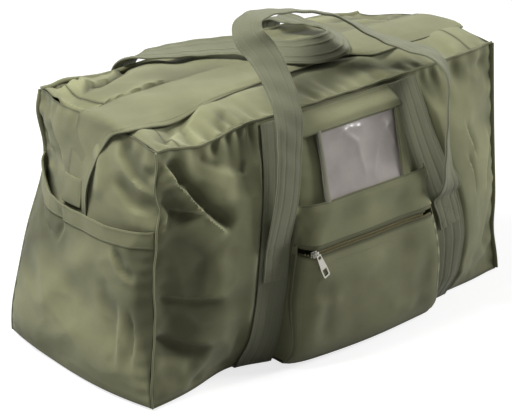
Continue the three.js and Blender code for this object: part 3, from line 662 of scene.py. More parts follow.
def material(kind):
    """The bag's finishes, each made once."""
    if kind not in MATERIALS:
        look = bpy.context.scene.holdall_colours
        weave = bpy.context.scene.holdall_sizes.weave
        makers = {
            "canvas": lambda: woven("canvas", look.canvas, weave, 0.11, 0.12 * MM, 90.0),
            "webbing": lambda: woven("webbing", look.webbing, weave * 1.4, 0.07, 0.2 * MM),
            "tape": lambda: woven("zip_tape", look.tape, weave * 0.7, 0.05, 0.08 * MM),
            "binding": lambda: woven("binding", look.binding, weave, 0.06, 0.12 * MM),
            "backing": lambda: woven("backing", look.backing, weave, 0.12, 0.06 * MM),
            "thread": lambda: woven("thread", look.thread, weave * 0.6, 0.05, 0.05 * MM),
            "teeth": lambda: worn_metal("zip_teeth", look.teeth, 0.35, 0.35),
            "zinc": lambda: worn_metal("zip_metal", look.zinc, 0.2, 0.18),
            "vinyl": lambda: clear_vinyl("clear_vinyl", look.vinyl),
        }
        MATERIALS[kind] = makers[kind]()
    return MATERIALS[kind]


# ---- The filled panels ----

FRONT_FOLDS = [
    {"path": [(-345, 383), (-316, 342), (-289, 303), (-262, 270), (-236, 244)],
     "height": 9, "width": 8, "drop": 15, "back": 16, "fade": 0.14},
    {"path": [(-338, 352), (-320, 312), (-296, 276)], "height": -12, "width": 20},
    {"path": [(-222, 350), (-240, 322), (-246, 290)], "height": 6, "width": 24},
    {"path": [(-270, 388), (-262, 372), (-236, 352)], "height": -4, "width": 6},
    {"path": [(-262, 292), (-300, 296), (-338, 308)],
     "height": 3, "width": 5, "drop": 7, "back": 13, "fade": 0.2},
    {"path": [(-352, 318), (-338, 296), (-346, 268)],
     "height": 3, "width": 5, "drop": 4, "back": 8, "fade": 0.3},
    {"path": [(-330, 290), (-326, 180), (-322, 60)], "height": -7, "width": 40},
    {"path": [(-240, 148), (-300, 158), (-356, 172)],
     "height": 2, "width": 6, "drop": 5, "back": 14, "fade": 0.25},
    {"path": [(-262, 72), (-320, 98), (-362, 118)],
     "height": 3, "width": 8, "drop": 8, "back": 22, "fade": 0.2},
    {"path": [(-300, 40), (-330, 60), (-358, 72)], "height": 5, "width": 14},
    {"path": [(-262, 226), (-250, 180), (-262, 140)], "height": 3, "width": 14},
    {"path": [(-300, 250), (-282, 216), (-290, 180)], "height": -3, "width": 12},
    {"path": [(-196, 352), (-204, 330)], "height": -4, "width": 5},
    {"path": [(242, 300), (262, 262), (270, 225)],
     "height": 3, "width": 5, "drop": 4, "back": 10, "fade": 0.3},
    {"path": [(236, 250), (250, 215), (252, 170)],
     "height": 3, "width": 5, "drop": 4, "back": 9, "fade": 0.3},
    {"path": [(334, 262), (310, 195), (286, 140)],
     "height": 3, "width": 10, "drop": 2, "back": 20, "fade": 0.25},
    {"path": [(350, 90), (300, 60), (250, 50)], "height": -4, "width": 14},
]

END_FOLDS = [
    {"path": [(-36, 385), (-44, 340), (-40, 292)], "height": 4, "width": 12},
    {"path": [(-150, 330), (-112, 344), (-84, 372), (-70, 398)],
     "height": 4, "width": 10, "drop": 7, "back": 24, "fade": 0.22},
    {"path": [(-140, 290), (-106, 300), (-70, 330)],
     "height": 3, "width": 8, "drop": 4, "back": 16, "fade": 0.25},
    {"path": [(100, 385), (70, 340), (62, 300)],
     "height": 3, "width": 9, "drop": 5, "back": 18, "fade": 0.25},
    {"path": [(150, 372), (128, 352), (118, 312)],
     "height": 3, "width": 8, "drop": 5, "back": 14, "fade": 0.25},
]

TOP_FOLDS = [
    {"path": [(-162, 34), (-264, 16), (-332, 34), (-344, 128)],
     "height": 7, "width": 9, "drop": 13, "back": 24, "fade": 0.16},
    {"path": [(-150, 172), (-212, 128), (-268, 118), (-300, 92)],
     "height": 5, "width": 7, "drop": 9, "back": 15, "fade": 0.2},
    {"path": [(-336, 150), (-300, 128), (-262, 140), (-230, 170)],
     "height": 4, "width": 6, "drop": 8, "back": 12, "fade": 0.2},
    {"path": [(-262, -150), (-250, -105), (-205, -85)],
     "height": 3, "width": 7, "drop": 4, "back": 12, "fade": 0.25},
    {"path": [(-322, -150), (-292, -120), (-258, -100)],
     "height": 4, "width": 8, "drop": 5, "back": 14, "fade": 0.25},
    {"path": [(-215, -150), (-206, -128), (-180, -105)], "height": -5, "width": 7},
    {"path": [(40, -120), (110, -100), (180, -118)], "height": -4, "width": 16},
    {"path": [(345, 70), (290, 34), (220, 60)],
     "height": 3, "width": 12, "drop": 4, "back": 20, "fade": 0.25},
    {"path": [(300, 130), (200, 104), (110, 124)],
     "height": 4, "width": 14, "drop": 4, "back": 24, "fade": 0.25},
]

POCKET_FOLDS = [
    {"path": [(132, 150), (118, 92), (110, 20)], "height": -3, "width": 14},
    {"path": [(-96, 160), (-84, 110), (-90, 30)], "height": -3, "width": 16},
    {"path": [(20, 262), (0, 200), (20, 120)], "height": 4, "width": 30},
    {"path": [(-130, 120), (-96, 104), (-50, 108)], "height": 2, "width": 12},
    {"path": [(40, 60), (90, 48), (140, 66)], "height": 3, "width": 14},
    {"path": [(60, 250), (84, 200), (80, 120)], "height": -3, "width": 20},
]

FILL_STEPS = 22
FILL_MOST = 9 * MM
FILLED = {}


def panel_place(name):
    """The even shape of a filled panel, before its folds."""
    kind, side = name.rsplit("_", 1) if name.startswith("end") else (name, name)
    if kind == "end":
        def place(u, v):
            share = mix(-1, 1, u) * SIGN[side]
            z = mix(FOOT_Z, crown(share * HALF_TOP_Y), v)
            return on_end(share * half_depth(z), z, 0.0, side)
        return place
    if kind == "top":
        return lambda u, v: on_top(
            mix(-HALF_TOP_X, HALF_TOP_X, u), mix(-HALF_TOP_Y, HALF_TOP_Y, v)
        )
    def face_place(u, v):
        z = mix(FOOT_Z, SEAM_Z, v)
        x = mix(-1, 1, u) * half_length(z) * (1 if side == "front" else -1)
        return on_front(x, z, 0.0, side)
    return face_place


FILL_GRIDS = {"front": (52, 29), "back": (52, 29), "top": (50, 22),
              "end_left": (25, 29), "end_right": (25, 29)}


def fill_the_bag():
    """Presses the panels out from inside, held at their seams, as the filling does."""
    pieces = {}
    for name, (across, up) in FILL_GRIDS.items():
        piece = cloth_grid("filling_" + name, panel_place(name), across, up)
        start = points_of(piece)
        u = np.tile(np.linspace(0, 1, across + 1), up + 1)
        v = np.repeat(np.linspace(0, 1, up + 1), across + 1)
        held = (np.minimum(u, 1 - u) < 1e-6) | (np.minimum(v, 1 - v) < 1e-6)
        group = piece.vertex_groups.new(name="seam")
        group.add([int(i) for i in np.nonzero(held)[0]], 1.0, "REPLACE")
        cloth = piece.modifiers.new("filling", "CLOTH")
        settings = cloth.settings
        settings.quality = 6
        settings.mass = 0.3
        settings.tension_stiffness = 20
        settings.compression_stiffness = 20
        settings.shear_stiffness = 12
        settings.bending_stiffness = 4
        settings.vertex_group_mass = "seam"
        settings.shrink_min = -0.022
        settings.use_pressure = True
        settings.uniform_pressure_force = 1.2
        settings.effector_weights.gravity = 0.0
        cloth.point_cache.frame_end = FILL_STEPS
        pieces[name] = (piece, start)
    scene = bpy.context.scene
    for step in range(1, FILL_STEPS + 1):
        scene.frame_set(step)
    graph = bpy.context.evaluated_depsgraph_get()
    for name, (piece, start) in pieces.items():
        filled = piece.evaluated_get(graph)
        flat = np.empty(len(start) * 3)
        filled.data.vertices.foreach_get("co", flat)
        moved = flat.reshape(-1, 3) - start
        far = np.linalg.norm(moved, axis=1)
        moved *= (FILL_MOST * np.tanh(far / FILL_MOST) / np.maximum(far, 1e-9))[:, None]
        across, up = FILL_GRIDS[name]
        FILLED[name] = moved.reshape(up + 1, across + 1, 3)
        bpy.data.objects.remove(piece)
    scene.frame_set(1)


def cubic_weights(at, count):
    """How much each of count even stops weighs at places from 0 to 1."""
    spot = np.clip(at, 0, 1) * (count - 1)
    low = np.minimum(np.floor(spot).astype(int), count - 2)
    t = spot - low
    shares = np.stack([
        -0.5 * t + t ** 2 - 0.5 * t ** 3,
        1 - 2.5 * t ** 2 + 1.5 * t ** 3,
        0.5 * t + 2 * t ** 2 - 1.5 * t ** 3,
        -0.5 * t ** 2 + 0.5 * t ** 3,
    ])
    stops = np.clip(low + np.arange(-1, 3)[:, None], 0, count - 1)
    return shares, stops


def filled_move(name, u, v):
    """How far the filling has pushed a panel at places on it."""
    if name not in FILLED:
        return np.zeros((len(u), 3))
    stops = FILLED[name]
    share_u, at_u = cubic_weights(u, stops.shape[1])
    share_v, at_v = cubic_weights(v, stops.shape[0])
    total = np.zeros((len(u), 3))
    for i in range(4):
        for j in range(4):
            total += (share_u[i] * share_v[j])[:, None] * stops[at_v[j], at_u[i]]
    return total


SEAM_PUCKER = 1.1 * MM
SEAM_REACH = 16 * MM
GATHER_PITCH = 27 * MM


def covered(x, z):
    """How far the straps press on the cloth, and how far the pocket does, from 0 to 1."""
    centre = mix(STRAP_OUT_BASE, STRAP_OUT_TOP, risen(z))
    reach = STRAP_WIDTH / 2
    out = np.abs(x - STRAP_CENTRE_X)
    inner = smooth(out, centre - reach - 12 * MM, centre - reach)
    outer = 1 - smooth(out, centre + reach - 4 * MM, centre + reach + 10 * MM)
    return inner * outer, 1 - inner


def face_relief(side, u, v):
    """The front's or the back's folds. The back has the front's lesser ones, mirrored."""
    z = mix(FOOT_Z, SEAM_Z, v)
    x = mix(-1, 1, u) * half_length(z) * (1 if side == "front" else -1)
    even = panel_place(side)(u, v)
    free = 1 - np.maximum(*covered(x, z)) if side == "front" else 1 - covered(x, z)[0]
    folds = FRONT_FOLDS if side == "front" else mirrored(FRONT_FOLDS[5:])
    total = fold_field(x, z, folds) * free
    total += ripple(even, 0.11, 3.2 * MM, 1) * free * edge_fade(u, v, 0.7, 0.4, 20 * MM)
    total += ripple(even, 0.045, 1.0 * MM, 2) * edge_fade(u, v, 0.7, 0.4, 12 * MM)
    total += crumple(even, 0.16, 4.0 * MM, 21) * free * edge_fade(u, v, 0.7, 0.4, 25 * MM)
    total += crumple(even, 0.06, 2.2 * MM, 22) * free * edge_fade(u, v, 0.7, 0.4, 15 * MM)
    top = (1 - v) * SEAM_Z
    gather = 1 + 1.3 * np.exp(-((x + 215 * MM) / (60 * MM)) ** 2)
    total += pucker(x, top, GATHER_PITCH, 1.8 * MM, 22 * MM) * free * gather
    sides = (1 - np.abs(2 * u - 1)) * HALF_BASE_X
    total += pucker(z, sides, 31 * MM, SEAM_PUCKER, SEAM_REACH, 1.0)
    return total - 1.5 * MM * (1 - free)


def mirrored(folds):
    return [{**fold, "path": [(-a, b) for a, b in fold["path"]]} for fold in folds]


def edge_fade(u, v, width, height, reach):
    """0 at a cloth's seams, rising to 1 a little way in."""
    across = np.minimum(u, 1 - u) * width
    up = np.minimum(v, 1 - v) * height
    return smooth(across, 0, reach) * smooth(up, 0, reach)


def end_relief(side, u, v):
    even = panel_place("end_" + side)(u, v)
    y, z = even[:, 1] - MIDDLE_Y, even[:, 2]
    total = fold_field(y, z, END_FOLDS)
    total += ripple(even, 0.09, 3.0 * MM, 3) * edge_fade(u, v, 0.33, 0.4, 25 * MM)
    total += ripple(even, 0.04, 1.0 * MM, 4) * edge_fade(u, v, 0.33, 0.4, 12 * MM)
    total += crumple(even, 0.12, 4.0 * MM, 23) * edge_fade(u, v, 0.33, 0.4, 25 * MM)
    beside = (1 - np.abs(2 * u - 1)) * HALF_BASE_Y
    total += pucker(z, beside, 29 * MM, SEAM_PUCKER, SEAM_REACH, 2.0)
    total += pucker(y, (1 - v) * SEAM_Z, 30 * MM, SEAM_PUCKER, SEAM_REACH, 3.0)
    return total


def top_relief(u, v):
    even = panel_place("top")(u, v)
    x, y = even[:, 0], even[:, 1] - MIDDLE_Y
    total = fold_field(x, y, TOP_FOLDS)
    total += ripple(even, 0.10, 3.0 * MM, 5) * edge_fade(u, v, 0.7, 0.3, 25 * MM)
    total += crumple(even, 0.15, 4.5 * MM, 24) * edge_fade(u, v, 0.7, 0.3, 25 * MM)
    total += crumple(even, 0.05, 1.2 * MM, 25) * edge_fade(u, v, 0.7, 0.3, 15 * MM)
    total *= zip_calm(even[:, 1])
    front = v * 2 * HALF_TOP_Y
    gather = 1 + 1.6 * np.exp(-((x + 230 * MM) / (75 * MM)) ** 2)
    total += pucker(x, front, GATHER_PITCH, 1.3 * MM, 22 * MM) * gather
    total += pucker(x, (1 - v) * 2 * HALF_TOP_Y, 33 * MM, SEAM_PUCKER, SEAM_REACH, 4.0)
    return total


RELIEFS = {
    "front": lambda u, v: face_relief("front", u, v),
    "back": lambda u, v: face_relief("back", u, v),
    "end_left": lambda u, v: end_relief("left", u, v),
    "end_right": lambda u, v: end_relief("right", u, v),
    "top": top_relief,
}


def zip_middle():
    """The line between the main zip's two rows of teeth."""
    return (box("main_zip_chain_front")[1][1] + box("main_zip_chain_back")[0][1]) / 2


def zip_calm(y):
    """0 along the main zip, which keeps straight, and 1 away from it."""
    return smooth(np.abs(y - zip_middle()), 8 * MM, 45 * MM)


def share_x(x):
    """A place along the top panel, from 0 at the left to 1."""
    return (x + HALF_TOP_X) / (2 * HALF_TOP_X)


def share_y(y):
    """A place across the top panel, from 0 at the front to 1."""
    return (y - MIDDLE_Y + HALF_TOP_Y) / (2 * HALF_TOP_Y)


def stuffed(name):
    """A panel's finished shape: even shape, filling and folds together."""
    even = panel_place(name)

    def place(u, v):
        out = normals_at(even, u, v, 0.01)
        calm = 1.0
        if name in ("front", "back"):
            z = mix(FOOT_Z, SEAM_Z, v)
            x = mix(-1, 1, u) * half_length(z) * (1 if name == "front" else -1)
            calm = 1 - np.maximum(*covered(x, z)) if name == "front" else 1 - covered(x, z)[0]
            calm = calm[:, None]
        if name == "top":
            calm = zip_calm(even(u, v)[:, 1])[:, None]
        move = filled_move(name, u, v) * bpy.context.scene.holdall_sizes.filling * calm
        return even(u, v) + move + out * RELIEFS[name](u, v)[:, None]
    return place


def within(place, low_u, high_u, low_v, high_v):
    """The part of a panel between two edges each way, as a place function of its own."""
    return lambda u, v: place(mix(low_u, high_u, u), mix(low_v, high_v, v))


def make_panel(name, body, place, across, up, panel=None, part=(0, 1, 0, 1), cut=None):
    """A panel of the bag's skin that replaces the node of the same name. It is a part,
    between edges in u and in v, of the panel whose folds it has."""
    piece = cloth_grid(name + "_cloth", place, across, up)
    if panel:
        start = grid_uv(across, up)
        u = mix(part[0], part[1], start[0])
        v = mix(part[2], part[3], start[1])
        rough = RELIEFS[panel](u, v) + ripple(panel_place(panel)(u, v), 0.03, 0.8 * MM, 9)
        mark_wear_and_shade(piece, rough)
    if cut:
        cut(piece)
    thicken(piece, CANVAS)
    return finish_piece(piece, body, (name,), material("canvas"))


def grid_uv(across, up):
    u = np.tile(np.linspace(0, 1, across + 1), up + 1)
    v = np.repeat(np.linspace(0, 1, up + 1), across + 1)
    return u, v


def make_skin():
    for side in ("front", "back"):
        fine = (190, 104) if side == "front" else (120, 66)
        make_panel(f"{side}_panel", "bag", stuffed(side), *fine, side)
    for side in ("left", "right"):
        fine = (84, 100) if side == "left" else (60, 70)
        make_panel(f"end_panel_{side}", "bag", stuffed("end_" + side), *fine, "end_" + side)

    def under(u, v):
        x = mix(HALF_BASE_X, -HALF_BASE_X, u)
        y = mix(-HALF_BASE_Y, HALF_BASE_Y, v)
        sag = 0.6 * MM * np.sin(u * 40) * np.sin(v * 18)
        z = BASE_LOW[2] + sag * edge_fade(u, v, 0.7, 0.3, 0.03)
        return to_frame(slump(np.column_stack([x, y, z])))
    make_panel("base_panel", "bag", under, 90, 44)


# ---- Welted seams ----

def lip(name, edge, out, height, thick, node, body="bag"):
    """A seam's raised lip: two cloths stitched together along an edge, standing out."""
    wave = 0.7 * MM * np.sin(np.arange(len(edge)) * 0.55) * np.sin(np.arange(len(edge)) * 0.21)

    def place(u, v):
        spot = np.clip(v * (len(edge) - 1), 0, len(edge) - 1)
        low = np.minimum(spot.astype(int), len(edge) - 2)
        t = (spot - low)[:, None]
        at = edge[low] * (1 - t) + edge[low + 1] * t
        way = out[low] * (1 - t) + out[low + 1] * t
        along = edge[low + 1] - edge[low]
        along /= np.linalg.norm(along, axis=1)[:, None]
        side = np.cross(way, along)
        turn = u * 2 * math.pi
        wobble = wave[low][:, None]
        return (at + way * (height * (0.5 + 0.5 * np.cos(turn)) - 2.5 * MM)[:, None]
                + side * (thick * np.sin(turn))[:, None] + side * wobble)
    piece = cloth_grid(name, place, 12, len(edge) * 2)
    only(piece)
    bpy.ops.object.mode_set(mode="EDIT")
    bpy.ops.mesh.select_all(action="SELECT")
    bpy.ops.mesh.remove_doubles(threshold=1e-6)
    bpy.ops.mesh.select_all(action="DESELECT")
    bpy.ops.mesh.select_non_manifold(extend=False)
    bpy.ops.mesh.fill_holes(sides=0)
    bpy.ops.mesh.select_all(action="SELECT")
    bpy.ops.mesh.normals_make_consistent(inside=False)
    bpy.ops.object.mode_set(mode="OBJECT")
    bpy.ops.object.shade_smooth_by_angle(angle=math.radians(60))
    return finish_piece(piece, body, (node,), material("canvas"))


def make_welts():
    sizes = bpy.context.scene.holdall_sizes
    steps = np.linspace(0, 1, 70)
    for end in ("left", "right"):
        for face in ("front", "back"):
            z = mix(FOOT_Z, SEAM_Z, steps)
            edge = np.column_stack([
                SIGN[end] * half_length(z), SIGN[face] * half_depth(z), z
            ])
            way = np.tile([SIGN[end], SIGN[face], 0.0], (len(z), 1)) / math.sqrt(2)
            edge = to_frame(slump(edge + way * 0.6 * MM))
            node = f"corner_seam_{face}_{end}"
            lip(f"welt_{face}_{end}", edge, way, sizes.welt + 1.5 * MM, 1.7 * MM, node)
    for face in ("front", "back"):
        x = np.linspace(-HALF_TOP_X, HALF_TOP_X, 150)
        edge = np.column_stack([
            x, np.full(len(x), SIGN[face] * HALF_TOP_Y), np.full(len(x), SEAM_Z)
        ])
        way = np.tile([0.0, SIGN[face] * 0.6, 0.8], (len(x), 1))
        edge = to_frame(slump(edge + way * 0.6 * MM))
        height = sizes.welt * 0.9 + 1.5 * MM
        lip(f"welt_top_{face}", edge, way, height, 1.6 * MM, f"top_seam_{face}")


# ---- Straps ----

def strap_x(side, z):
    return STRAP_CENTRE_X + SIGN[side] * mix(STRAP_OUT_BASE, STRAP_OUT_TOP, risen(z))


# How far the full pocket pulls the right strap's inner edge off the face.
STRAP_PULL = [(0, 4), (60, 10), (120, 14), (200, 14), (270, 9), (335, 5), (398, 1)]


def strap_lift(side, face, u, z):
    """How far a strap stands off its face. u is 0 at its inner edge."""
    if (side, face) != ("right", "front"):
        return np.full(len(z), 2 * MM)
    heights, pulls = zip(*STRAP_PULL)
    pulled = np.interp(z / MM, heights, pulls) * MM
    return 2 * MM + pulled * (1 - smooth(u, -0.25, 1.0))


def groove(u, lines, width):
    """How deep the stitched lines draw a band in, where its edges are at 0 and 1."""
    deep = np.zeros(len(u))
    for line in lines:
        deep = np.maximum(deep, np.exp(-(((u - line) * width) / (1.3 * MM)) ** 2))
    return 0.7 * MM * deep


SEWN_LINES = (0.06, 0.13, 0.38, 0.62, 0.87, 0.94)


def strap_place(side, face, width, lift):
    top = SEAM_Z - 5 * MM

    def place(u, v):
        z = mix(2 * MM, top, v)
        across = u if face == "front" else 1 - u
        x = strap_x(side, z) + (across - 0.5) * width
        inner = (x - strap_x(side, z)) / STRAP_WIDTH + 0.5
        wave = ripple(np.column_stack([x * 0.3, z * 0, z]), 0.05, 1.0 * MM, 11)
        wave += ripple(np.column_stack([x, z * 0, z * 0.3]), 0.02, 0.8 * MM, 12)
        wave -= groove(u, SEWN_LINES, width)
        return on_front(x, z, lift + strap_lift(side, face, inner, z) + WEBBING + wave, face)
    return place


def make_straps():
    for side in ("left", "right"):
        for face in ("front", "back"):
            place = strap_place(side, face, STRAP_WIDTH, 0)
            piece = cloth_grid(f"strap_{face}_{side}_band", place, 48, 110)
            thicken(piece, WEBBING, 0.6 * MM)
            nodes = (f"strap_{face}_{side}",)
            finish_piece(piece, "bag", nodes, material("webbing"))
            rows = [(place, (u, 0.02), (u, 0.99)) for u in SEWN_LINES]
            sew(f"strap_{face}_{side}_stitches", "bag", rows, material("thread"))
        low, high = box(f"base_strap_{side}")

        def under(u, v):
            x = mix(high[0], low[0], u)
            y = mix(low[1], high[1], v)
            return to_frame(slump(np.column_stack([x, y - MIDDLE_Y, np.full(len(x), low[2])])))
        piece = cloth_grid(f"base_strap_{side}_band", under, 8, 40)
        thicken(piece, WEBBING, 0.5 * MM)
        finish_piece(piece, "bag", (f"base_strap_{side}",), material("webbing"))


# ---- Handles ----
# Each route starts at the foot of the left leg's sewn end. A stop gives its place
# in millimetres, y from the bag's middle, and the way in which the band is wide.

FRONT_HANDLE = [
    ((-152, -198, 215), (1, 0, 0)), ((-143, -206, 282), (1, 0, 0)),
    ((-138, -206, 350), (1, 0.05, 0)), ((-129, -194, 405), (1, -0.1, 0)),
    ((-123, -164, 450), (0.95, -0.3, 0)), ((-122, -127, 488), (0.75, -0.65, 0)),
    ((-128, -101, 511), (0.5, -0.85, 0.1)), ((-117, -86, 523), (0.2, -1, 0.1)),
    ((-90, -76, 528), (0, -1, 0.1)), ((-40, -69, 522), (0, -1, 0.15)),
    ((19, -69, 508), (0, -1, 0.2)), ((68, -79, 493), (-0.1, -1, 0.1)),
    ((103, -95, 472), (-0.3, -0.95, -0.1)), ((141, -118, 448), (-0.5, -0.85, 0)),
    ((164, -150, 438), (-0.6, -0.8, 0)), ((180, -188, 430), (-0.7, -0.7, 0)),
    ((180, -218, 408), (-0.7, -0.7, 0)), ((172, -230, 371), (-0.7, -0.7, 0)),
    ((166, -237, 305), (-0.75, -0.65, 0)), ((174, -233, 245), (-0.85, -0.5, 0)),
    ((183, -227, 215), (-1, 0, 0)),
]

BACK_HANDLE = [
    ((-152, 198, 215), (1, 0, 0)), ((-148, 196, 290), (1, 0, 0)),
    ((-146, 184, 360), (1, 0, 0)), ((-145, 167, 402), (1, 0, 0)),
    ((-138, 146, 415), (1, 0.1, 0)), ((-116, 122, 420), (0.9, 0.4, 0.1)),
    ((-82, 98, 424), (0.8, 0.5, 0.2)), ((-52, 71, 428), (0.8, 0.5, 0.3)),
    ((-26, 34, 434), (0.85, 0.4, 0.35)), ((-9, -8, 434), (0.8, 0.45, 0.4)),
    ((14, -42, 434), (0.5, 0.7, 0.5)), ((54, -62, 435), (0, 0.7, 0.7)),
    ((97, -56, 435), (-0.6, 0.5, 0.6)), ((124, -22, 433), (-0.85, 0.1, 0.5)),
    ((136, 30, 430), (-0.95, 0, 0.3)), ((143, 90, 421), (-1, 0.1, 0.1)),
    ((153, 140, 414), (-1, 0.1, 0)), ((163, 167, 402), (-1, 0, 0)),
    ((165, 184, 360), (-1, 0, 0)), ((167, 196, 290), (-1, 0, 0)),
    ((169, 198, 215), (-1, 0, 0)),
]

# The heights of a handle's sewn ends, at their foot and at their head.
SEWN_FOOT = 150 * MM
SEWN_HEAD = 205 * MM


def curve_through(stops, count):
    """A smooth line through stops, spaced evenly by length."""
    stops = np.array(stops, float)
    lengths = np.linalg.norm(np.diff(stops, axis=0), axis=1)
    knots = np.concatenate([[0], np.cumsum(lengths)])
    slopes = np.gradient(stops, knots, axis=0)
    at = np.linspace(0, knots[-1], count)
    low = np.clip(np.searchsorted(knots, at, side="right") - 1, 0, len(knots) - 2)
    gap = (knots[low + 1] - knots[low])[:, None]
    t = ((at - knots[low]) / gap[:, 0])[:, None]
    start = (2 * t ** 3 - 3 * t ** 2 + 1) * stops[low]
    leaving = (t ** 3 - 2 * t ** 2 + t) * gap * slopes[low]
    end = (-2 * t ** 3 + 3 * t ** 2) * stops[low + 1]
    arriving = (t ** 3 - t ** 2) * gap * slopes[low + 1]
    return start + leaving + end + arriving


def handle_route(stops, face, count=220):
    """The whole band's centre line and width directions, sewn ends included."""
    places = [np.array(at) * MM for at, _ in stops]
    ways = [np.array(way, float) for _, way in stops]
    ends = []
    for side in ("left", "right"):
        z = np.array([SEWN_FOOT, (SEWN_FOOT + SEWN_HEAD) / 2, SEWN_HEAD - 8 * MM])
        x = strap_x(side, z)
        lift = strap_lift(side, face, np.full(3, 0.2), z) + WEBBING + HANDLE_THICKNESS / 2 + 2 * AIR
        y = SIGN[face] * (face_out(x, z) + lift + (bulge(x, z) if face == "front" else 0))
        ends.append(list(slump(np.column_stack([x, y, z]))))
    places = ends[0] + places + ends[1][::-1]
    ways = [ways[0]] * 3 + ways + [ways[-1]] * 3
    centre = curve_through(places, count)
    width = curve_through_like(places, ways, count)
    return to_frame(centre), width


def curve_through_like(places, ways, count):
    """Width directions at the same even spacing as the centre line."""
    places = np.array(places, float)
    knots = np.concatenate([[0], np.cumsum(np.linalg.norm(np.diff(places, axis=0), axis=1))])
    at = np.linspace(0, knots[-1], count)
    ways = np.array(ways)
    found = np.column_stack([np.interp(at, knots, ways[:, i]) for i in range(3)])
    for _ in range(6):
        found[1:-1] = (found[:-2] + found[1:-1] * 2 + found[2:]) / 4
    return found / np.linalg.norm(found, axis=1)[:, None]


HANDLE_LINES = (0.08, 0.3, 0.7, 0.92)


def handle_place(stops, face):
    centre, width = handle_route(stops, face)
    along = np.gradient(centre, axis=0)
    along /= np.linalg.norm(along, axis=1)[:, None]
    width = width - (width * along).sum(axis=1)[:, None] * along
    width /= np.linalg.norm(width, axis=1)[:, None]
    out = np.cross(width, along)

    def place(u, v):
        spot = np.clip(v, 0, 1) * (len(centre) - 1)
        low = np.minimum(spot.astype(int), len(centre) - 2)
        t = (spot - low)[:, None]
        at = centre[low] * (1 - t) + centre[low + 1] * t
        way = width[low] * (1 - t) + width[low + 1] * t
        up = out[low] * (1 - t) + out[low + 1] * t
        cup = 1.6 * MM * (np.abs(2 * u - 1) ** 2) * np.sin(np.clip(v, 0, 1) * math.pi)
        cup += 0.5 * MM * np.sin(v * 160 + u * 5) * smooth(v, 0.1, 0.2)
        cup += groove(u, HANDLE_LINES, HANDLE_WIDTH)
        return at + way * ((u - 0.5) * HANDLE_WIDTH)[:, None] + up * (
            HANDLE_THICKNESS / 2 - cup)[:, None]
    return place


def make_handles():
    for face, stops in (("front", FRONT_HANDLE), ("back", BACK_HANDLE)):
        place = handle_place(stops, face)
        body = f"{face}_handle"
        piece = cloth_grid(f"{face}_handle_band", place, 36, 300)
        thicken(piece, HANDLE_THICKNESS, 0.8 * MM)
        patches = [f"handle_patch_{face}_{side}" for side in ("left", "right")]
        finish_piece(piece, body, [body] + patches, material("webbing"))
        flipped = place_behind(place)
        rows = [(place, (u, 0.003), (u, 0.997)) for u in HANDLE_LINES]
        rows += [(flipped, (u, 0.06), (u, 0.94)) for u in HANDLE_LINES]
        rows += box_stitches(place)
        thread = sew(f"{face}_handle_stitches", body, rows, material("thread"))
        for cloth in (piece, thread):
            let_go(cloth)
            y = foot_y(piece)
            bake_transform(cloth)


def foot_y(piece):
    """Where a handle's lowest point lies, front to back."""
    low = points_of(piece)[:, 2].argmin()
    return float(points_of(piece)[low][1])


def place_behind(place):
    """The other side of a band, seen from behind it."""
    def behind(u, v):
        out = normals_at(place, u, v)
        return place(u, v) - out * HANDLE_THICKNESS
    return lambda u, v: behind(1 - u, v)


def box_stitches(place):
    """A box with a cross in it at each sewn end."""
    rows = []
    for foot, head in ((0.006, 0.046), (0.994, 0.954)):
        rows += [(place, (0.08, at), (0.92, at)) for at in (foot, head)]
        rows += [(place, (0.08, foot), (0.92, head)), (place, (0.92, foot), (0.08, head))]
    return rows


# ---- The end pockets ----

def mouth_z(share):
    """The end pocket's hem, -1 at the front corner and 1 at the back one."""
    return (268 + 6 * share ** 2 + 24 * smooth(share, 0.45, 0.95)) * MM


def pocket_ease(y, z):
    return 16 * MM * plateau(y / half_depth(z), 8) * np.sin(
        (math.pi / 2) * np.minimum(1, z / (120 * MM))
    )


END_POCKET_FOLDS = [
    {"path": [(-136, 158), (-148, 104), (-150, 48)],
     "height": 2, "width": 9, "drop": 6, "back": 12, "fade": 0.35},
    {"path": [(-108, 168), (-116, 110), (-124, 44)],
     "height": 2, "width": 11, "drop": 5, "back": 16, "fade": 0.4},
    {"path": [(-84, 250), (-10, 190), (50, 120), (96, 60)], "height": 5, "width": 24},
    {"path": [(-70, 190), (-84, 130), (-96, 70)], "height": -4, "width": 16},
    {"path": [(-142, 188), (-110, 204), (-86, 240)],
     "height": 3, "width": 6, "drop": 6, "back": 12, "fade": 0.25},
    {"path": [(30, 268), (24, 232), (44, 196)],
     "height": 2, "width": 6, "drop": 4, "back": 10, "fade": 0.3},
    {"path": [(100, 262), (88, 232), (52, 214)],
     "height": 2, "width": 6, "drop": 4, "back": 10, "fade": 0.3},
    {"path": [(-40, 90), (10, 66), (70, 40)], "height": 3, "width": 16},
]


def end_pocket_place(side, low=0.0, high=1.0, lift=0.0):
    """The end pocket's cloth, from its foot to its hem."""
    def place(u, v):
        share = mix(-1, 1, u) * SIGN[side]
        z = mix(4 * MM, mouth_z(share), mix(low, high, v))
        y = share * (half_depth(z) - AIR)
        at = on_end(y, z, 1.4 * MM + pocket_ease(y, z) + CANVAS + lift, side)
        belly = 2 * MM * plateau(share, 3) * np.exp(-((z / MM - 70) / 60) ** 2)
        fold = fold_field(y, z, END_POCKET_FOLDS)
        fold += ripple(at, 0.08, 3.2 * MM, 6) + ripple(at, 0.035, 1.0 * MM, 7)
        fold += crumple(at, 0.13, 4.5 * MM, 26) + crumple(at, 0.05, 2.0 * MM, 27)
        beside = (1 - np.abs(share)) * HALF_BASE_Y
        fold *= smooth(beside, 0, 24 * MM) * smooth(z, 0, 30 * MM)
        fold += pucker(z, beside, 26 * MM, SEAM_PUCKER, SEAM_REACH, 5.0)
        gape = 4 * MM * np.exp(-((share - 0.1) / 0.4) ** 2) * smooth(z, 230 * MM, mouth_z(share))
        at[:, 0] += SIGN[side] * (belly + fold + gape)
        return at
    return place


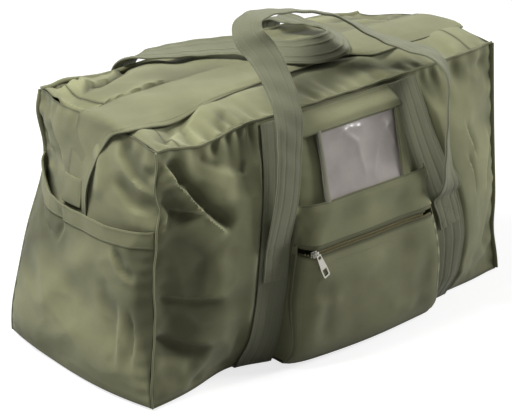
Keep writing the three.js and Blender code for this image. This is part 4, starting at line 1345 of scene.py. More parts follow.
def make_end_pockets():
    for side in ("left", "right"):
        place = end_pocket_place(side)
        piece = cloth_grid(f"end_pocket_{side}_cloth", place, 84, 70)
        u, v = grid_uv(84, 70)
        at = place(u, v)
        rough = np.abs(at[:, 0]) - end_out(at[:, 1] - MIDDLE_Y, at[:, 2]) - 20 * MM
        mark_wear_and_shade(piece, np.clip(rough, -6 * MM, 6 * MM))
        thicken(piece, CANVAS)
        finish_piece(piece, "bag", (f"end_pocket_{side}",), material("canvas"))
        hem = end_pocket_place(side, 0.905, 1.003, CANVAS * 0.9)
        band = cloth_grid(f"end_pocket_hem_{side}_cloth", hem, 84, 6)
        thicken(band, CANVAS, 0.6 * MM)
        finish_piece(band, "bag", (f"end_pocket_hem_{side}",), material("canvas"))
        rows = [(hem, (0.01, at), (0.99, at)) for at in (0.1, 0.9)]
        sew(f"end_pocket_{side}_stitches", "bag", rows, material("thread"))
        make_tab(side)


def make_tab(side):
    """The folded tab in which the storm flap ends, over the pocket's hem."""
    low, high = box(f"end_tab_{side}")
    middle = (low[1] + high[1]) / 2 - MIDDLE_Y
    wide = high[1] - low[1]

    def place(u, v):
        y = middle + (u - 0.5) * SIGN[side] * wide * (1 - 0.06 * v)
        z = mix(low[2] - 3 * MM, high[2], v) + 5 * MM * (u if side == "left" else 1 - u)
        bulge = 2.5 * MM * np.sin(math.pi * u) * np.sin(math.pi * v)
        return on_end(y, z, 5.6 * MM + bulge + 4 * MM * (1 - v) ** 2, side)
    piece = cloth_grid(f"end_tab_{side}_cloth", place, 16, 12)
    thicken(piece, 3.4 * MM, 1.2 * MM)
    finish_piece(piece, "bag", (f"end_tab_{side}",), material("canvas"))
    rows = [(place, (0.1, 0.9), (0.9, 0.9)), (place, (0.1, 0.05), (0.1, 0.9)),
            (place, (0.9, 0.9), (0.9, 0.05))]
    sew(f"end_tab_{side}_stitches", "bag", rows, material("thread"))


# ---- The top and its storm flap ----

# How much of the top panel's width each seam allowance takes.
SEAM_SHARE = 0.004


def make_top():
    whole = stuffed("top")
    halves = (("top_front_half", "top_front"), ("top_back_half", "bag"))
    for node, body in halves:
        low, high = box(node)
        edge = (share_x(low[0]), share_x(high[0]),
                share_y(low[1]) if node == "top_back_half" else SEAM_SHARE,
                share_y(high[1]) if node == "top_front_half" else 1 - SEAM_SHARE)
        piece = make_panel(node, body, within(whole, *edge), 150, 36, "top", edge)
        if node == "top_front_half":
            hinge(piece)
    for side in ("left", "right"):
        low, high = box(f"top_margin_{side}")
        edge = (share_x(low[0]), share_x(high[0]), SEAM_SHARE, 1 - SEAM_SHARE)
        place = within(whole, *edge)
        make_panel(f"top_margin_{side}", "bag", place, 24, 120, "top", edge, CUTS[side])


def hinge(piece):
    """Takes the front half off its body, and keeps it where it lies."""
    let_go(piece)
    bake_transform(piece)


SLIDER_TRAVEL = 654 * MM
SLOT_ROOM = 2 * MM


def cut_slot(piece, shift=0.0):
    """Leaves out the cloth where the main zip's slider and pull stop."""
    low = np.minimum(box("main_zip_slider")[0], box("main_zip_pull")[0]) - [shift, 0, 0]
    high = np.maximum(box("main_zip_slider")[1], box("main_zip_pull")[1]) - [shift, 0, 0]
    low, high = low - SLOT_ROOM, high + SLOT_ROOM
    leave_out(piece, [
        face.index for face in piece.data.polygons
        if low[0] < face.center[0] < high[0] and low[1] < face.center[1] < high[1]
    ])


def cut_far_slot(piece):
    """The same slot at the far end of the slider's travel."""
    cut_slot(piece, SLIDER_TRAVEL)


CUTS = {"left": cut_far_slot, "right": cut_slot}


# The flap's section, from its sewn edge at the back to its free edge at the front:
# y from the bag's middle, and its height over the top.
FLAP_SECTION = [(20, 1.5), (6, 5), (-18, 8), (-45, 9), (-66, 8), (-78, 5.5), (-84, 3.5)]
# How far the free edge lies behind its usual line, along the bag.
FLAP_WANDER = [
    (-350, -9), (-314, -9), (-209, 0), (-49, 16), (109, 16), (145, -7), (200, -6), (350, -2),
]
# By height: where the tail's front and back edges lie from the bag's middle, and how
# far its front edge gapes.
TAIL_FRONT = [(243, -14), (290, -18), (330, -28), (365, -42), (395, -60)]
TAIL_BACK = [(243, 62), (290, 52), (330, 42), (365, 32), (395, 24)]
GAPE = [(243, 2), (275, 7), (310, 12), (350, 9), (395, 6)]


def flap_lines(columns):
    """Lines along the flap, from the left tail's foot over the top to the right's."""
    stops = np.array(FLAP_SECTION, float)
    s = np.linspace(0, 1, len(stops))
    t = np.linspace(0, 1, columns)
    ys = np.interp(t, s, stops[:, 0]) * MM
    rises = np.interp(t, s, stops[:, 1]) * MM
    heights = np.linspace(243, 396, 22)
    lines = []
    for share, y_top, rise in zip(t, ys, rises):
        front = np.interp(heights, *zip(*TAIL_FRONT))
        back = np.interp(heights, *zip(*TAIL_BACK))
        y = mix(back, front, share) * MM
        z = heights * MM
        gape = np.interp(heights, *zip(*GAPE)) * MM * share ** 4
        x = end_out(y, z) + 1.2 * MM + FLAP_BODY + gape + rise * 0.35 * smooth(z, 0.33, 0.4)
        tail = np.column_stack([-x, y, z])
        along = np.linspace(-HALF_TOP_X - 3 * MM, HALF_TOP_X + 3 * MM, 90)
        wander = np.interp(along / MM, *zip(*FLAP_WANDER)) * MM
        flat = y_top + wander * share ** 3
        droop = 3 * MM * share ** 3 * np.sin(along * 9.0 + 0.6)
        droop += 1.2 * MM * np.sin(along * 31) * share
        settled = rise * (1 - 0.4 * smooth(along, 0.20, 0.33)) - 2 * MM * smooth(along, 0.24, 0.35)
        over = np.column_stack([along, flat + droop, crown(flat) + CANVAS + settled + FLAP_BODY])
        x = end_out(y, z) + 1.2 * MM + FLAP_BODY + gape * 0.15
        other = np.column_stack([x, y, z])[::-1]
        lines.append(np.concatenate([tail, over, other]))
    return lines


FLAP_BODY = 2.0 * MM
FLAP_LENGTHS = 320


def flap_surface(columns=22):
    """The flap as a table of points: along it, and from its sewn to its free edge."""
    table = []
    for line in flap_lines(columns):
        even = curve_through(line, FLAP_LENGTHS)
        for _ in range(10):
            even[1:-1] = (even[:-2] + even[1:-1] * 2 + even[2:]) / 4
        table.append(to_frame(slump(even)))
    return np.array(table)


def table_place(table, flip=False):
    """A place function that reads a table of points, smoothly along both ways."""
    def place(u, v):
        along = 1 - u if flip else u
        share_u, at_u = cubic_weights(along, table.shape[1])
        share_v, at_v = cubic_weights(v, table.shape[0])
        total = np.zeros((len(u), 3))
        for i in range(4):
            for j in range(4):
                total += (share_u[i] * share_v[j])[:, None] * table[at_v[j], at_u[i]]
        return total
    return place


def make_flap():
    """One long flap with a hemmed free edge. It hides the zip and both its tails."""
    table = flap_surface()[::-1]
    even = table_place(table)

    def uneven(u, v):
        at = even(u, v)
        edge = smooth(v, 0, 0.2) * smooth(u, 0, 0.03) * smooth(1 - u, 0, 0.03)
        return (ripple(at, 0.07, 2.0 * MM, 8) + ripple(at, 0.03, 0.7 * MM, 12)) * edge
    place = lifted(even, uneven)
    piece = cloth_grid("storm_flap_cloth", place, 330, 26)
    mark_wear_and_shade(piece, uneven(*grid_uv(330, 26)))
    thicken(piece, FLAP_BODY, 0.8 * MM)
    nodes = ("storm_flap", "storm_flap_tail_left", "storm_flap_tail_right")
    finish_piece(piece, "bag", nodes, material("canvas"))
    rows = [(place, (0.01, at), (0.99, at)) for at in (0.035, 0.14, 0.93, 0.97)]
    sew("storm_flap_stitches", "bag", rows, material("thread"))


# ---- The bellows pocket ----

# How far the pocket stands off the face, in millimetres, from the base to the top seam.
POCKET_PROUD = [(0.02, 38), (0.26, 48), (0.48, 42), (0.70, 25), (0.86, 13), (1.0, 1)]
POCKET_SEAT = 1.9 * MM
POCKET_FOOT = 8 * MM
POCKET_HEAD = 394 * MM
POCKET_ZIP_Z = 190 * MM
ZIP_OPENING = 6 * MM


def pocket_front(z):
    """How far the full pocket stands from the bag's middle."""
    table = np.array(POCKET_PROUD, float)
    shares, stops = cubic_weights(np.linspace(0, 1, 240), len(table))
    curve = sum(share[:, None] * table[stop] for share, stop in zip(shares, stops))
    proud = np.interp(z / SEAM_Z, curve[:, 0], curve[:, 1]) * MM
    return face_out(np.zeros(len(z)), z) + POCKET_SEAT + proud


def pocket_side(side, z):
    """Where the pocket's side lies, along the strap's inner edge."""
    return strap_x(side, z) - SIGN[side] * (STRAP_WIDTH / 2 + 1 * MM)


def quarter(share):
    """Rises from 0 to 1 as a quarter circle does, steeply at first."""
    left = 1 - np.clip(share, 0, 1)
    return np.sqrt(np.maximum(1 - left ** 2, 0))


def pocket_out(x, z):
    """The pocket's stuffed front. Its left side is drawn back to the strap."""
    full = pocket_front(z)
    at_zip = np.exp(-((z - POCKET_ZIP_Z) / (30 * MM)) ** 2)
    reach = mix(44, 20, at_zip) * MM
    flush = np.minimum(face_out(x, z) + 7 * MM, full)
    drawn = mix(full - 9 * MM, flush, smooth(z, 15 * MM, 120 * MM))
    out = mix(drawn, full, quarter((x - pocket_side("left", z)) / reach))
    right = quarter((pocket_side("right", z) - x) / (22 * MM))
    out -= (1 - right) * np.minimum(9 * MM, np.maximum(full - flush, 0) * 0.5)
    foot = quarter((z - POCKET_FOOT + 1 * MM) / (34 * MM))
    return out - (1 - foot) * 11 * MM


def pocket_relief(x, z):
    flat = np.column_stack([x, np.zeros(len(x)), z])
    beside = np.minimum(x - pocket_side("left", z), pocket_side("right", z) - x)
    free = smooth(beside, 0, 30 * MM) * (1 - 0.85 * np.exp(-((z - POCKET_ZIP_Z) / (26 * MM)) ** 2))
    fold = fold_field(x, z, POCKET_FOLDS)
    fold += ripple(flat, 0.085, 3.4 * MM, 13) + ripple(flat, 0.035, 1.1 * MM, 14)
    fold *= free * smooth(z, 10 * MM, 40 * MM) * smooth(POCKET_HEAD - z, 0, 20 * MM)
    return fold + pucker(z, beside, 24 * MM, 0.3 * MM, 12 * MM, 6.0)


def pocket_surface(x, z, lift=0.0):
    """Points on the pocket's front, lifted off it along its own outward direction."""
    def at(x, z):
        return np.column_stack([x, -(pocket_out(x, z) + pocket_relief(x, z)), z])
    step = 1.5 * MM
    out = np.cross(at(x + step, z) - at(x - step, z), at(x, z + step) - at(x, z - step))
    out /= np.maximum(np.linalg.norm(out, axis=1), 1e-12)[:, None]
    return to_frame(slump(at(x, z) + out * np.reshape(lift, (-1, 1))))


def on_pocket(low, high, lift=0.0, edges=None, lean=(0.0, 0.0)):
    """A place function on the pocket between two heights and two edges. The edges lean:
    the left one out at the foot and the right one out at the head."""
    def place(u, v):
        z = mix(low, high, v)
        left, right = edges or (pocket_side("left", z), pocket_side("right", z))
        x = mix(left - lean[0] * (1 - v), right + lean[1] * v, u)
        return pocket_surface(x, z, lift(u, v) if callable(lift) else lift)
    return place


def pocket_piece(name, body, place, across, up, rim=0.0, nodes=()):
    piece = cloth_grid(name, place, across, up)
    u, v = grid_uv(across, up)
    at = place(u, v)
    mark_wear_and_shade(piece, pocket_relief(at[:, 0], at[:, 2]))
    thicken(piece, CANVAS, rim)
    return finish_piece(piece, body, nodes, material("canvas"))


def gusset_place(side, low, high):
    """The pocket's side wall, from the face to the pocket's front edge."""
    def place(u, v):
        z = mix(low, high, v)
        x = pocket_side(side, z) - SIGN[side] * 1.0 * MM
        back = face_out(x, z) + 1.5 * MM
        front = np.maximum(pocket_out(x, z) - 1.5 * MM, back + 0.6 * MM)
        share = 1 - u if side == "left" else u
        bow = SIGN[side] * -1.5 * MM * np.sin(math.pi * u)
        out = mix(back, front, share)
        return to_frame(slump(np.column_stack([x + bow, -out, z])))
    return place


def make_pocket():
    zip_low, zip_high = POCKET_ZIP_Z - ZIP_OPENING, POCKET_ZIP_Z + ZIP_OPENING
    lower = on_pocket(POCKET_FOOT, zip_low)
    pocket_piece("pocket_lower_cloth", "pocket_front", lower, 130, 86, 0, ["pocket_lower_panel"])
    upper = on_pocket(zip_high, POCKET_HEAD)
    pocket_piece("pocket_upper_cloth", "bag", upper, 130, 92, 0, ["pocket_upper_panel"])
    for side in ("left", "right"):
        foot = gusset_place(side, POCKET_FOOT + 2.5 * MM, zip_low)
        piece = cloth_grid(f"pocket_gusset_{side}_lower", foot, 12, 60)
        thicken(piece, CANVAS * 0.8)
        finish_piece(piece, "bag", (), material("canvas"))
        unfold(piece)
        head = gusset_place(side, zip_low, POCKET_HEAD - 3 * MM)
        piece = cloth_grid(f"pocket_gusset_{side}_cloth", head, 12, 60)
        thicken(piece, CANVAS * 0.8)
        nodes = (f"pocket_gusset_{side}",)
        finish_piece(piece, "bag", nodes, material("canvas"))

    def floor(u, v):
        z = np.full(len(u), POCKET_FOOT - CANVAS / 2)
        x = mix(pocket_side("left", z), pocket_side("right", z), u)
        back, front = face_out(x, z) + 1.5 * MM, pocket_out(x, z + 2 * MM) - 1 * MM
        at = np.column_stack([x, -mix(front, back, v), z + CANVAS * 0.5])
        return to_frame(slump(at))
    piece = cloth_grid("pocket_floor_cloth", floor, 40, 8)
    thicken(piece, CANVAS * 0.8)
    finish_piece(piece, "bag", ("pocket_floor",), material("canvas"))
    rows = [(lower, (u, 0.03), (u, 0.95)) for u in (0.025, 0.975)]
    rows += [(lower, (0.03, at), (0.97, at)) for at in (0.925, 0.045)]
    sew("pocket_lower_stitches", "pocket_front", rows, material("thread"))
    rows = [(upper, (0.03, 0.022), (0.97, 0.022))]
    sew("pocket_upper_stitches", "bag", rows, material("thread"))


def unfold(piece):
    """Takes the lower gusset off its body, and keeps it where it lies."""
    at = points_of(piece)
    let_go(piece)
    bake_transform(piece)


# ---- The label window ----

# How far the vinyl stands off the pocket, and how far its left and right edges lean.
WINDOW_LIFT = 9.5 * MM
WINDOW_LEAN = (12 * MM, 14 * MM)


def make_window():
    low, high = box("window_sheet")
    left, right, foot, head = low[0], high[0], low[2], high[2]

    def crease(u, v):
        x, z = mix(left, right, u), mix(foot, head, v)
        flat = np.column_stack([x, np.zeros(len(x)), z])
        path = [
            {"path": [(-30, 362), (8, 330), (20, 268)], "height": 2.4, "width": 6, "sharp": True},
            {"path": [(86, 350), (48, 318), (30, 262)], "height": 2.2, "width": 7, "sharp": True},
            {"path": [(60, 358), (70, 330), (88, 300)], "height": 2.2, "width": 6, "sharp": True},
            {"path": [(-44, 344), (-6, 352), (30, 346)], "height": 1.6, "width": 6, "sharp": True},
        ]
        fold = fold_field(x, z, path) + ripple(flat, 0.05, 1.8 * MM, 15)
        free = smooth(v, 0, 0.12) * smooth(1 - v, 0, 0.12) * smooth(1 - u, 0, 0.1)
        return WINDOW_LIFT + fold * free * smooth(u, -0.1, 0.12) - 3 * MM * np.sin(math.pi * v)
    vinyl = on_pocket(foot, head, crease, (left, right - 3 * MM), WINDOW_LEAN)
    sheet = cloth_grid("window_vinyl", vinyl, 60, 44)
    thicken(sheet, 0.8 * MM)
    finish_piece(sheet, "bag", ("window_sheet",), material("vinyl"))
    card = on_pocket(
        foot + 6 * MM, head - 6 * MM, 2.2 * MM, (left + 3 * MM, right - 8 * MM), WINDOW_LEAN
    )
    backing = cloth_grid("window_backing", card, 40, 30)
    thicken(backing, 0.5 * MM)
    finish_piece(backing, "bag", (), material("backing"))
    make_bands()
    low, high = box("window_binding")

    def edge_lift(u, v):
        belly = 1.5 * MM * np.sin(math.pi * u)
        return WINDOW_LIFT + 2.2 * MM + belly - 3 * MM * np.sin(math.pi * v)
    lean = (WINDOW_LEAN[0], WINDOW_LEAN[0])
    edge = on_pocket(
        low[2] - 3 * MM, high[2] + 3 * MM, edge_lift, (low[0], high[0] - WINDOW_LEAN[0]), lean
    )
    piece = cloth_grid("window_binding_cloth", edge, 10, 60)
    thicken(piece, 3.4 * MM, 1.0 * MM)
    finish_piece(piece, "bag", ("window_binding",), material("binding"))


def make_bands():
    """The canvas bands and the side strip that frame the window, and their stitches."""
    frame_lift = WINDOW_LIFT + 2.4 * MM

    def climb_up(u, v):
        return mix(CANVAS + AIR, frame_lift, smooth(1 - v, 0.2, 0.75)) + over_seam(v)

    def climb_down(u, v):
        return mix(CANVAS + AIR, frame_lift, smooth(v, 0.35, 0.85)) + over_seam(v)

    def over_seam(v):
        return 0.5 * MM * np.exp(-((v - 0.02) / 0.02) ** 2)
    upper_low, upper_high = box("window_band_upper")
    lower_low, lower_high = box("window_band_lower")
    upper = on_pocket(upper_low[2], upper_high[2], climb_up)
    pocket_piece("window_band_upper_cloth", "bag", upper, 130, 18, 0.5 * MM, ["window_band_upper"])
    lower = on_pocket(lower_low[2], lower_high[2], climb_down)
    pocket_piece("window_band_lower_cloth", "bag", lower, 130, 30, 0.5 * MM, ["window_band_lower"])
    low, high = box("window_side_strip")

    def strip_lift(u, v):
        return mix(frame_lift, CANVAS + AIR, smooth(u, 0.35, 1))

    def strip(u, v):
        z = mix(low[2] - 4 * MM, high[2] + 4 * MM, v)
        end = np.minimum(pocket_side("right", z) - 1 * MM, high[0] + 12 * MM)
        inner = low[0] - 3 * MM + WINDOW_LEAN[1] * v
        return pocket_surface(mix(inner, end, u), z, strip_lift(u, v))
    pocket_piece("window_side_cloth", "bag", strip, 16, 44, 0.5 * MM, ["window_side_strip"])
    rows = [(upper, (0.02, at), (0.98, at)) for at in (0.08, 0.9)]
    rows += [(lower, (0.02, at), (0.98, at)) for at in (0.05, 0.93)]
    rows.append((strip, (0.15, 0.02), (0.15, 0.98)))
    sew("window_stitches", "bag", rows, material("thread"))


# ---- Zips ----

TOOTH_PITCH = 2.5 * MM
TOOTH_SIZE = (1.35 * MM, 3.1 * MM, 2.3 * MM)
TOOTH_ROUNDING = 0.35 * MM
TOOTH_HEAD = 0.7
# Where a tape's edges lie, in millimetres from the zip's middle, and where a row's
# teeth do, in metres.
TAPE_INNER = 3.0
MAIN_TAPE_OUTER = 16
POCKET_TAPE_OUTER = 17
TEETH_OFF = 1.7 * MM
# How much deeper than the top the main slider and its pull lie, under the flap.
SLIDER_SINK = 7 * MM


def teeth_row(name, body, node, line, across, out, shift):
    """A row of teeth along a line. across points at the other row, and out outwards."""
    shape, faces = block_shape(TOOTH_SIZE, TOOTH_ROUNDING, TOOTH_HEAD)
    length = np.linalg.norm(np.diff(line, axis=0), axis=1).sum()
    count = int(length / TOOTH_PITCH)
    t = (np.arange(count) + 0.5 + shift) / (count + 0.5) * (len(line) - 1)
    places = np.column_stack([np.interp(t, np.arange(len(line)), line[:, i]) for i in range(3)])
    along = np.gradient(places, axis=0)
    along /= np.linalg.norm(along, axis=1)[:, None]
    turns = []
    for way in along:
        side = across - way * (across @ way)
        side /= np.linalg.norm(side)
        top = np.cross(way, side)
        turns.append(np.array([way, side, top * (1 if top @ out > 0 else -1)]))
    piece = repeat(name, shape, faces, places, turns)
    return finish_piece(piece, body, (node,), material("teeth"))


def zip_tape(name, body, node, place, across):
    piece = cloth_grid(name, place, across, 4)
    thicken(piece, 0.9 * MM)
    finish_piece(piece, body, (node,), material("tape"))


def pocket_zip():
    for row, sign, body in (("lower", -1, "pocket_front"), ("upper", 1, "bag")):
        edge_low, edge_high = box(f"pocket_zip_tape_{row}")
        near = POCKET_ZIP_Z + sign * TAPE_INNER * MM
        far = POCKET_ZIP_Z + sign * POCKET_TAPE_OUTER * MM
        ends = (edge_low[0] - 6 * MM, edge_high[0] + 6 * MM)
        tape = on_pocket(min(near, far), max(near, far), -2.4 * MM, ends)
        zip_tape(f"pocket_zip_tape_{row}_cloth", body, f"pocket_zip_tape_{row}", tape, 90)
        x = np.linspace(edge_low[0] - 2 * MM, edge_high[0] + 1 * MM, 160)
        line = pocket_surface(x, np.full(160, POCKET_ZIP_Z + sign * TEETH_OFF), -1.6 * MM)
        teeth_row(f"pocket_zip_teeth_{row}", body, f"pocket_zip_chain_{row}", line,
                  np.array([0, 0, -sign]), np.array([0, -1, 0]), 0.25 * sign)
    refine("pocket_zip_slider", "pocket_slider", 0.45 * MM)
    pocket_pull()


# The pull is a stamped plate with a slot for the slider's bridge and a finger hole.
PULL_ACROSS = (-6.5, -4.0, 4.0, 6.5)
PULL_DOWN = (44, 41, 28, 7.5, 1.5, -1.5)
PULL_TILT = math.radians(25)
PULL_HOLES = (4, 10)
PULL_PLATE = 1.7 * MM


def pocket_pull():
    low, high = box("pocket_zip_slider")
    deselect()
    bpy.ops.mesh.primitive_grid_add(x_subdivisions=3, y_subdivisions=5, size=1)
    piece = bpy.context.active_object
    piece.name = "pocket_zip_pull_metal"
    start = points_of(piece) + 0.5
    column = np.rint(start[:, 0] * 3).astype(int)
    row = np.rint(start[:, 1] * 5).astype(int)
    down = np.array(PULL_DOWN)[row]
    narrow = mix(0.62, 1.0, np.clip(down / 26, 0, 1))
    narrow = np.where(row == 0, 0.8, narrow)
    across = np.array(PULL_ACROSS)[column] * narrow
    hinge_x, hinge_z = (low[0] + high[0]) / 2, POCKET_ZIP_Z + 1 * MM
    x = hinge_x + (down * math.sin(PULL_TILT) + across * math.cos(PULL_TILT)) * MM
    z = hinge_z - (down * math.cos(PULL_TILT) - across * math.sin(PULL_TILT)) * MM
    rest = pocket_surface(np.array([x[0]]), np.array([z[0]]), 2.4 * MM)[0, 1]
    y = mix(low[1] - 1.6 * MM, min(rest, low[1]), np.clip(down / PULL_DOWN[0], 0, 1))
    set_points(piece, np.column_stack([x, y, z]))
    leave_out(piece, PULL_HOLES)
    wall = piece.modifiers.new("plate", "SOLIDIFY")
    wall.thickness = PULL_PLATE
    wall.offset = 0
    round_edges(piece, 0.6 * MM, 3)
    apply_modifiers(piece)
    bpy.ops.object.shade_smooth_by_angle(angle=math.radians(40))
    finish_piece(piece, "pocket_pull", ("pocket_zip_pull",), material("zinc"))


def main_zip():
    whole = stuffed("top")
    middle = zip_middle()

    def on_whole(x, y, lift):
        return whole(share_x(x), share_y(y)) + np.array([0, 0, lift])
    for row, sign, body in (("front", -1, "top_front"), ("back", 1, "bag")):
        ends = box(f"main_zip_tape_{row}")

        def tape(u, v):
            edges = (TAPE_INNER, MAIN_TAPE_OUTER)[::sign]
            y = middle + sign * mix(*edges, v) * MM
            return on_whole(mix(ends[0][0], ends[1][0], u), y, -2.6 * MM)
        zip_tape(f"main_zip_tape_{row}_cloth", body, f"main_zip_tape_{row}", tape, 150)
        x = np.linspace(ends[0][0], ends[1][0], 400)
        line = on_whole(x, np.full(400, middle + sign * TEETH_OFF), -1.8 * MM)
        teeth_row(f"main_zip_teeth_{row}", body, f"main_zip_chain_{row}", line,
                  np.array([0, -sign, 0]), np.array([0, 0, 1]), 0.25 * sign)
    parked = np.array([sum(box("main_zip_slider")) / 2])
    parked = parked - [0, MIDDLE_Y, 0]
    sunk = slump(parked) - parked - [0, 0, SLIDER_SINK]
    for node, body in (("main_zip_slider", "main_slider"), ("main_zip_pull", "main_pull")):
        piece = refine(node, body, 0.4 * MM)
        set_points(piece, points_of(piece) + sunk)


def refine(node, body, round_by):
    """A smooth copy of a packed metal part, with its edges rounded."""
    piece = frame["nodes"][node].copy()
    piece.data = piece.data.copy()
    piece.name = node + "_metal"
    piece.parent = None
    for key in list(piece.keys()):
        del piece[key]
    bpy.context.collection.objects.link(piece)
    only(piece)
    bpy.ops.object.mode_set(mode="EDIT")
    bpy.ops.mesh.select_all(action="SELECT")
    bpy.ops.mesh.remove_doubles(threshold=1e-6)
    bpy.ops.mesh.dissolve_limited(angle_limit=math.radians(2))
    bpy.ops.object.mode_set(mode="OBJECT")
    round_edges(piece, round_by, 3)
    apply_modifiers(piece)
    bpy.ops.object.shade_smooth_by_angle(angle=math.radians(40))
    return finish_piece(piece, body, (node,), material("zinc"))


def make_zips():
    pocket_zip()
    main_zip()


# ---- The stage ----

CAMERA_AT = (-2.3598, -2.6040, 1.6853)
CAMERA_DOWN = math.radians(23.31)
CAMERA_TURN = math.radians(-41.67)
CAMERA_LENS = 168.75
KEY_AT = (-1.35, 0.6, 2.7)
SIDE_AT = (4.3, -2.5, 2.5)
FLOOR_GREY = (0.4, 0.4, 0.4)


def area_lamp(name, at, aim, size, power):
    lamp = bpy.data.lights.new(name, "AREA")
    lamp.size = size
    lamp.energy = power
    holder = bpy.data.objects.new(name, lamp)
    holder.location = at
    way = Vector(aim) - Vector(at)
    holder.rotation_euler = way.to_track_quat("-Z", "Y").to_euler()
    bpy.context.collection.objects.link(holder)


def seen_directly(nodes):
    """1 for what the camera sees, directly, mirrored in metal or through vinyl."""
    path = nodes.add("ShaderNodeLightPath")
    either = nodes.math("MAXIMUM", path.outputs["Is Camera Ray"], path.outputs["Is Glossy Ray"])
    return nodes.math("MAXIMUM", either, path.outputs["Is Transmission Ray"])


def make_floor(backdrop):
    deselect()
    bpy.ops.mesh.primitive_plane_add(size=40, location=(0, 0, 0))
    floor = bpy.context.active_object
    floor.name = "floor"
    nodes = Finish("pale_floor")
    cloudy = nodes.noise(nodes.add("ShaderNodeTexCoord").outputs["Object"], 1.4)
    nodes.link(nodes.tone(FLOOR_GREY, 0.01, cloudy), nodes.shader.inputs["Base Color"])
    nodes.shader.inputs["Roughness"].default_value = 0.9
    nodes.shader.inputs["Specular IOR Level"].default_value = 0.0
    nodes.shader.inputs["Emission Color"].default_value = (1, 1, 1, 1)
    glow = nodes.math("MULTIPLY", seen_directly(nodes), backdrop)
    nodes.link(glow, nodes.shader.inputs["Emission Strength"])
    floor.data.materials.append(nodes.material)


def make_world(level):
    """A white sky that lights the bag only at this level."""
    world = bpy.data.worlds.new("studio")
    bpy.context.scene.world = world
    nodes = Nodes(world)
    back = nodes.tree.nodes["Background"]
    back.inputs["Color"].default_value = (1, 1, 1, 1)
    strength = nodes.add("ShaderNodeMapRange")
    nodes.link(seen_directly(nodes), strength.inputs["Value"])
    strength.inputs["To Min"].default_value = level
    strength.inputs["To Max"].default_value = 1.0
    nodes.link(strength.outputs[0], back.inputs["Strength"])


def make_stage():
    light = bpy.context.scene.holdall_light
    make_world(light.sky)
    make_floor(light.backdrop)
    area_lamp("key_lamp", KEY_AT, (0, 0, 0.3), 1.2, light.key)
    area_lamp("side_lamp", SIDE_AT, (0.0, -0.1, 0.2), 1.5, light.fill)
    camera = bpy.data.cameras.new("camera")
    camera.lens = CAMERA_LENS
    camera.sensor_width = 36
    holder = bpy.data.objects.new("camera", camera)
    holder.location = CAMERA_AT
    holder.rotation_euler = (math.pi / 2 - CAMERA_DOWN, 0, CAMERA_TURN)
    bpy.context.collection.objects.link(holder)
    bpy.context.scene.camera = holder
    bpy.context.scene.view_settings.view_transform = "Standard"


# ---- The add-on ----

def colour(name, about, default):
    return bpy.props.FloatVectorProperty(
        name=name, description=about, default=default, size=3, min=0, max=1, subtype="COLOR"
    )


class HoldallColours(bpy.types.PropertyGroup):
    """The finishes' colours."""

    canvas: colour("Canvas", "Dyed cotton of the panels", (0.172, 0.175, 0.095))
    webbing: colour("Webbing", "Straps and handles", (0.152, 0.156, 0.100))
    tape: colour("Zip tape", "The zips' woven edges", (0.10, 0.10, 0.052))
    binding: colour("Binding", "The window's bound edge", (0.19, 0.185, 0.135))
    backing: colour("Backing", "What lies behind the window", (0.36, 0.325, 0.295))
    thread: colour("Thread", "All the stitches", (0.20, 0.20, 0.125))
    teeth: colour("Teeth", "The zips' teeth", (0.20, 0.18, 0.10))
    zinc: colour("Zip metal", "Sliders and pulls", (0.40, 0.39, 0.34))
    vinyl: colour("Vinyl", "The window's clouded sheet", (0.42, 0.38, 0.35))


class HoldallSizes(bpy.types.PropertyGroup):
    """Sizes of the cloth's detail."""

    weave: bpy.props.FloatProperty(
        name="Weave", description="Distance between two threads of the canvas",
        default=1.1 * MM, min=0.4 * MM, max=4 * MM, precision=4, unit="LENGTH",
    )
    folds: bpy.props.FloatProperty(
        name="Folds", description="How deep the folds are beside their usual depth",
        default=1.0, min=0.0, max=1.5, subtype="FACTOR",
    )
    filling: bpy.props.FloatProperty(
        name="Filling", description="How much of the simulated filling shows",
        default=0.8, min=0.0, max=1.2, subtype="FACTOR",
    )
    welt: bpy.props.FloatProperty(
        name="Welt", description="How far the corner seams stand out",
        default=5.5 * MM, min=2 * MM, max=8 * MM, precision=4, unit="LENGTH",
    )


class HoldallLight(bpy.types.PropertyGroup):
    """The studio's light."""

    key: bpy.props.FloatProperty(
        name="Key", description="Lamp over the left end", default=102, min=0, unit="POWER"
    )
    fill: bpy.props.FloatProperty(
        name="Fill", description="Lamp beside the front", default=222, min=0, unit="POWER"
    )
    sky: bpy.props.FloatProperty(
        name="Sky", description="Even light from all round", default=0.15, min=0, max=1
    )
    backdrop: bpy.props.FloatProperty(
        name="Backdrop", description="How bright the floor looks", default=0.75, min=0, max=1
    )


class HOLDALL_OT_filling(bpy.types.Operator):
    """Presses the panels out with the bag's filling"""

    bl_idname = "holdall.filling"
    bl_label = "Fill the Bag"

    def execute(self, context):
        fill_the_bag()
        return {"FINISHED"}


class HOLDALL_OT_skin(bpy.types.Operator):
    """Makes the front, back, end and base panels"""

    bl_idname = "holdall.skin"
    bl_label = "Panels"

    def execute(self, context):
        make_skin()
        return {"FINISHED"}


class HOLDALL_OT_welts(bpy.types.Operator):
    """Makes the raised seams at the corners and along the top"""

    bl_idname = "holdall.welts"
    bl_label = "Welted Seams"

    def execute(self, context):
        make_welts()
        return {"FINISHED"}


class HOLDALL_OT_top(bpy.types.Operator):
    """Makes the top's two halves and its ends"""

    bl_idname = "holdall.top"
    bl_label = "Top"

    def execute(self, context):
        make_top()
        return {"FINISHED"}


class HOLDALL_OT_straps(bpy.types.Operator):
    """Makes the straps sewn round the bag"""

    bl_idname = "holdall.straps"
    bl_label = "Straps"

    def execute(self, context):
        make_straps()
        return {"FINISHED"}


class HOLDALL_OT_end_pockets(bpy.types.Operator):
    """Makes the slip pockets and tabs on both ends"""

    bl_idname = "holdall.end_pockets"
    bl_label = "End Pockets"

    def execute(self, context):
        make_end_pockets()
        return {"FINISHED"}


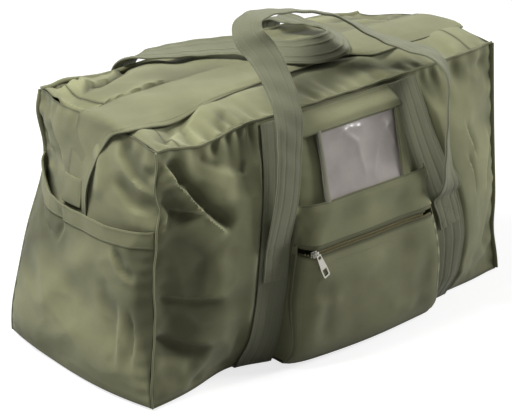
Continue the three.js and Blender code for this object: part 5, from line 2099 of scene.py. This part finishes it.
class HOLDALL_OT_flap(bpy.types.Operator):
    """Makes the storm flap over the main zip"""

    bl_idname = "holdall.flap"
    bl_label = "Storm Flap"

    def execute(self, context):
        make_flap()
        return {"FINISHED"}


class HOLDALL_OT_pocket(bpy.types.Operator):
    """Makes the bellows pocket on the front"""

    bl_idname = "holdall.pocket"
    bl_label = "Front Pocket"

    def execute(self, context):
        make_pocket()
        return {"FINISHED"}


class HOLDALL_OT_window(bpy.types.Operator):
    """Makes the label window with its bands and binding"""

    bl_idname = "holdall.window"
    bl_label = "Label Window"

    def execute(self, context):
        make_window()
        return {"FINISHED"}


class HOLDALL_OT_zips(bpy.types.Operator):
    """Makes both zips: tapes, teeth, sliders and pulls"""

    bl_idname = "holdall.zips"
    bl_label = "Zips"

    def execute(self, context):
        make_zips()
        return {"FINISHED"}


class HOLDALL_OT_handles(bpy.types.Operator):
    """Makes the two carrying handles"""

    bl_idname = "holdall.handles"
    bl_label = "Handles"

    def execute(self, context):
        make_handles()
        return {"FINISHED"}


class HOLDALL_OT_stage(bpy.types.Operator):
    """Sets the floor, the lamps and the camera"""

    bl_idname = "holdall.stage"
    bl_label = "Stage"

    def execute(self, context):
        make_stage()
        return {"FINISHED"}


STEPS = (
    HOLDALL_OT_filling, HOLDALL_OT_skin, HOLDALL_OT_welts, HOLDALL_OT_top, HOLDALL_OT_straps,
    HOLDALL_OT_end_pockets, HOLDALL_OT_flap, HOLDALL_OT_pocket, HOLDALL_OT_window,
    HOLDALL_OT_zips, HOLDALL_OT_handles, HOLDALL_OT_stage,
)


class HOLDALL_PT_panel(bpy.types.Panel):
    """The holdall's sizes, colours and steps"""

    bl_idname = "HOLDALL_PT_panel"
    bl_label = "Holdall"
    bl_space_type = "VIEW_3D"
    bl_region_type = "UI"
    bl_category = "Holdall"

    def draw(self, context):
        scene = context.scene
        for group in (scene.holdall_sizes, scene.holdall_colours, scene.holdall_light):
            column = self.layout.column()
            for name in group.bl_rna.properties.keys():
                if name not in ("rna_type", "name"):
                    column.prop(group, name)
        for step in STEPS:
            self.layout.operator(step.bl_idname)


GROUPS = {
    "holdall_sizes": HoldallSizes,
    "holdall_colours": HoldallColours,
    "holdall_light": HoldallLight,
}


def register():
    for item in (*GROUPS.values(), *STEPS, HOLDALL_PT_panel):
        bpy.utils.register_class(item)
    for name, group in GROUPS.items():
        setattr(bpy.types.Scene, name, bpy.props.PointerProperty(type=group))


def unregister():
    for name in GROUPS:
        delattr(bpy.types.Scene, name)
    for item in (HOLDALL_PT_panel, *reversed(STEPS), *GROUPS.values()):
        bpy.utils.unregister_class(item)


def main():
    register()
    deselect()
    for step in STEPS:
        group, name = step.bl_idname.split(".")
        getattr(getattr(bpy.ops, group), name)()


if __name__ == "__main__":
    main()
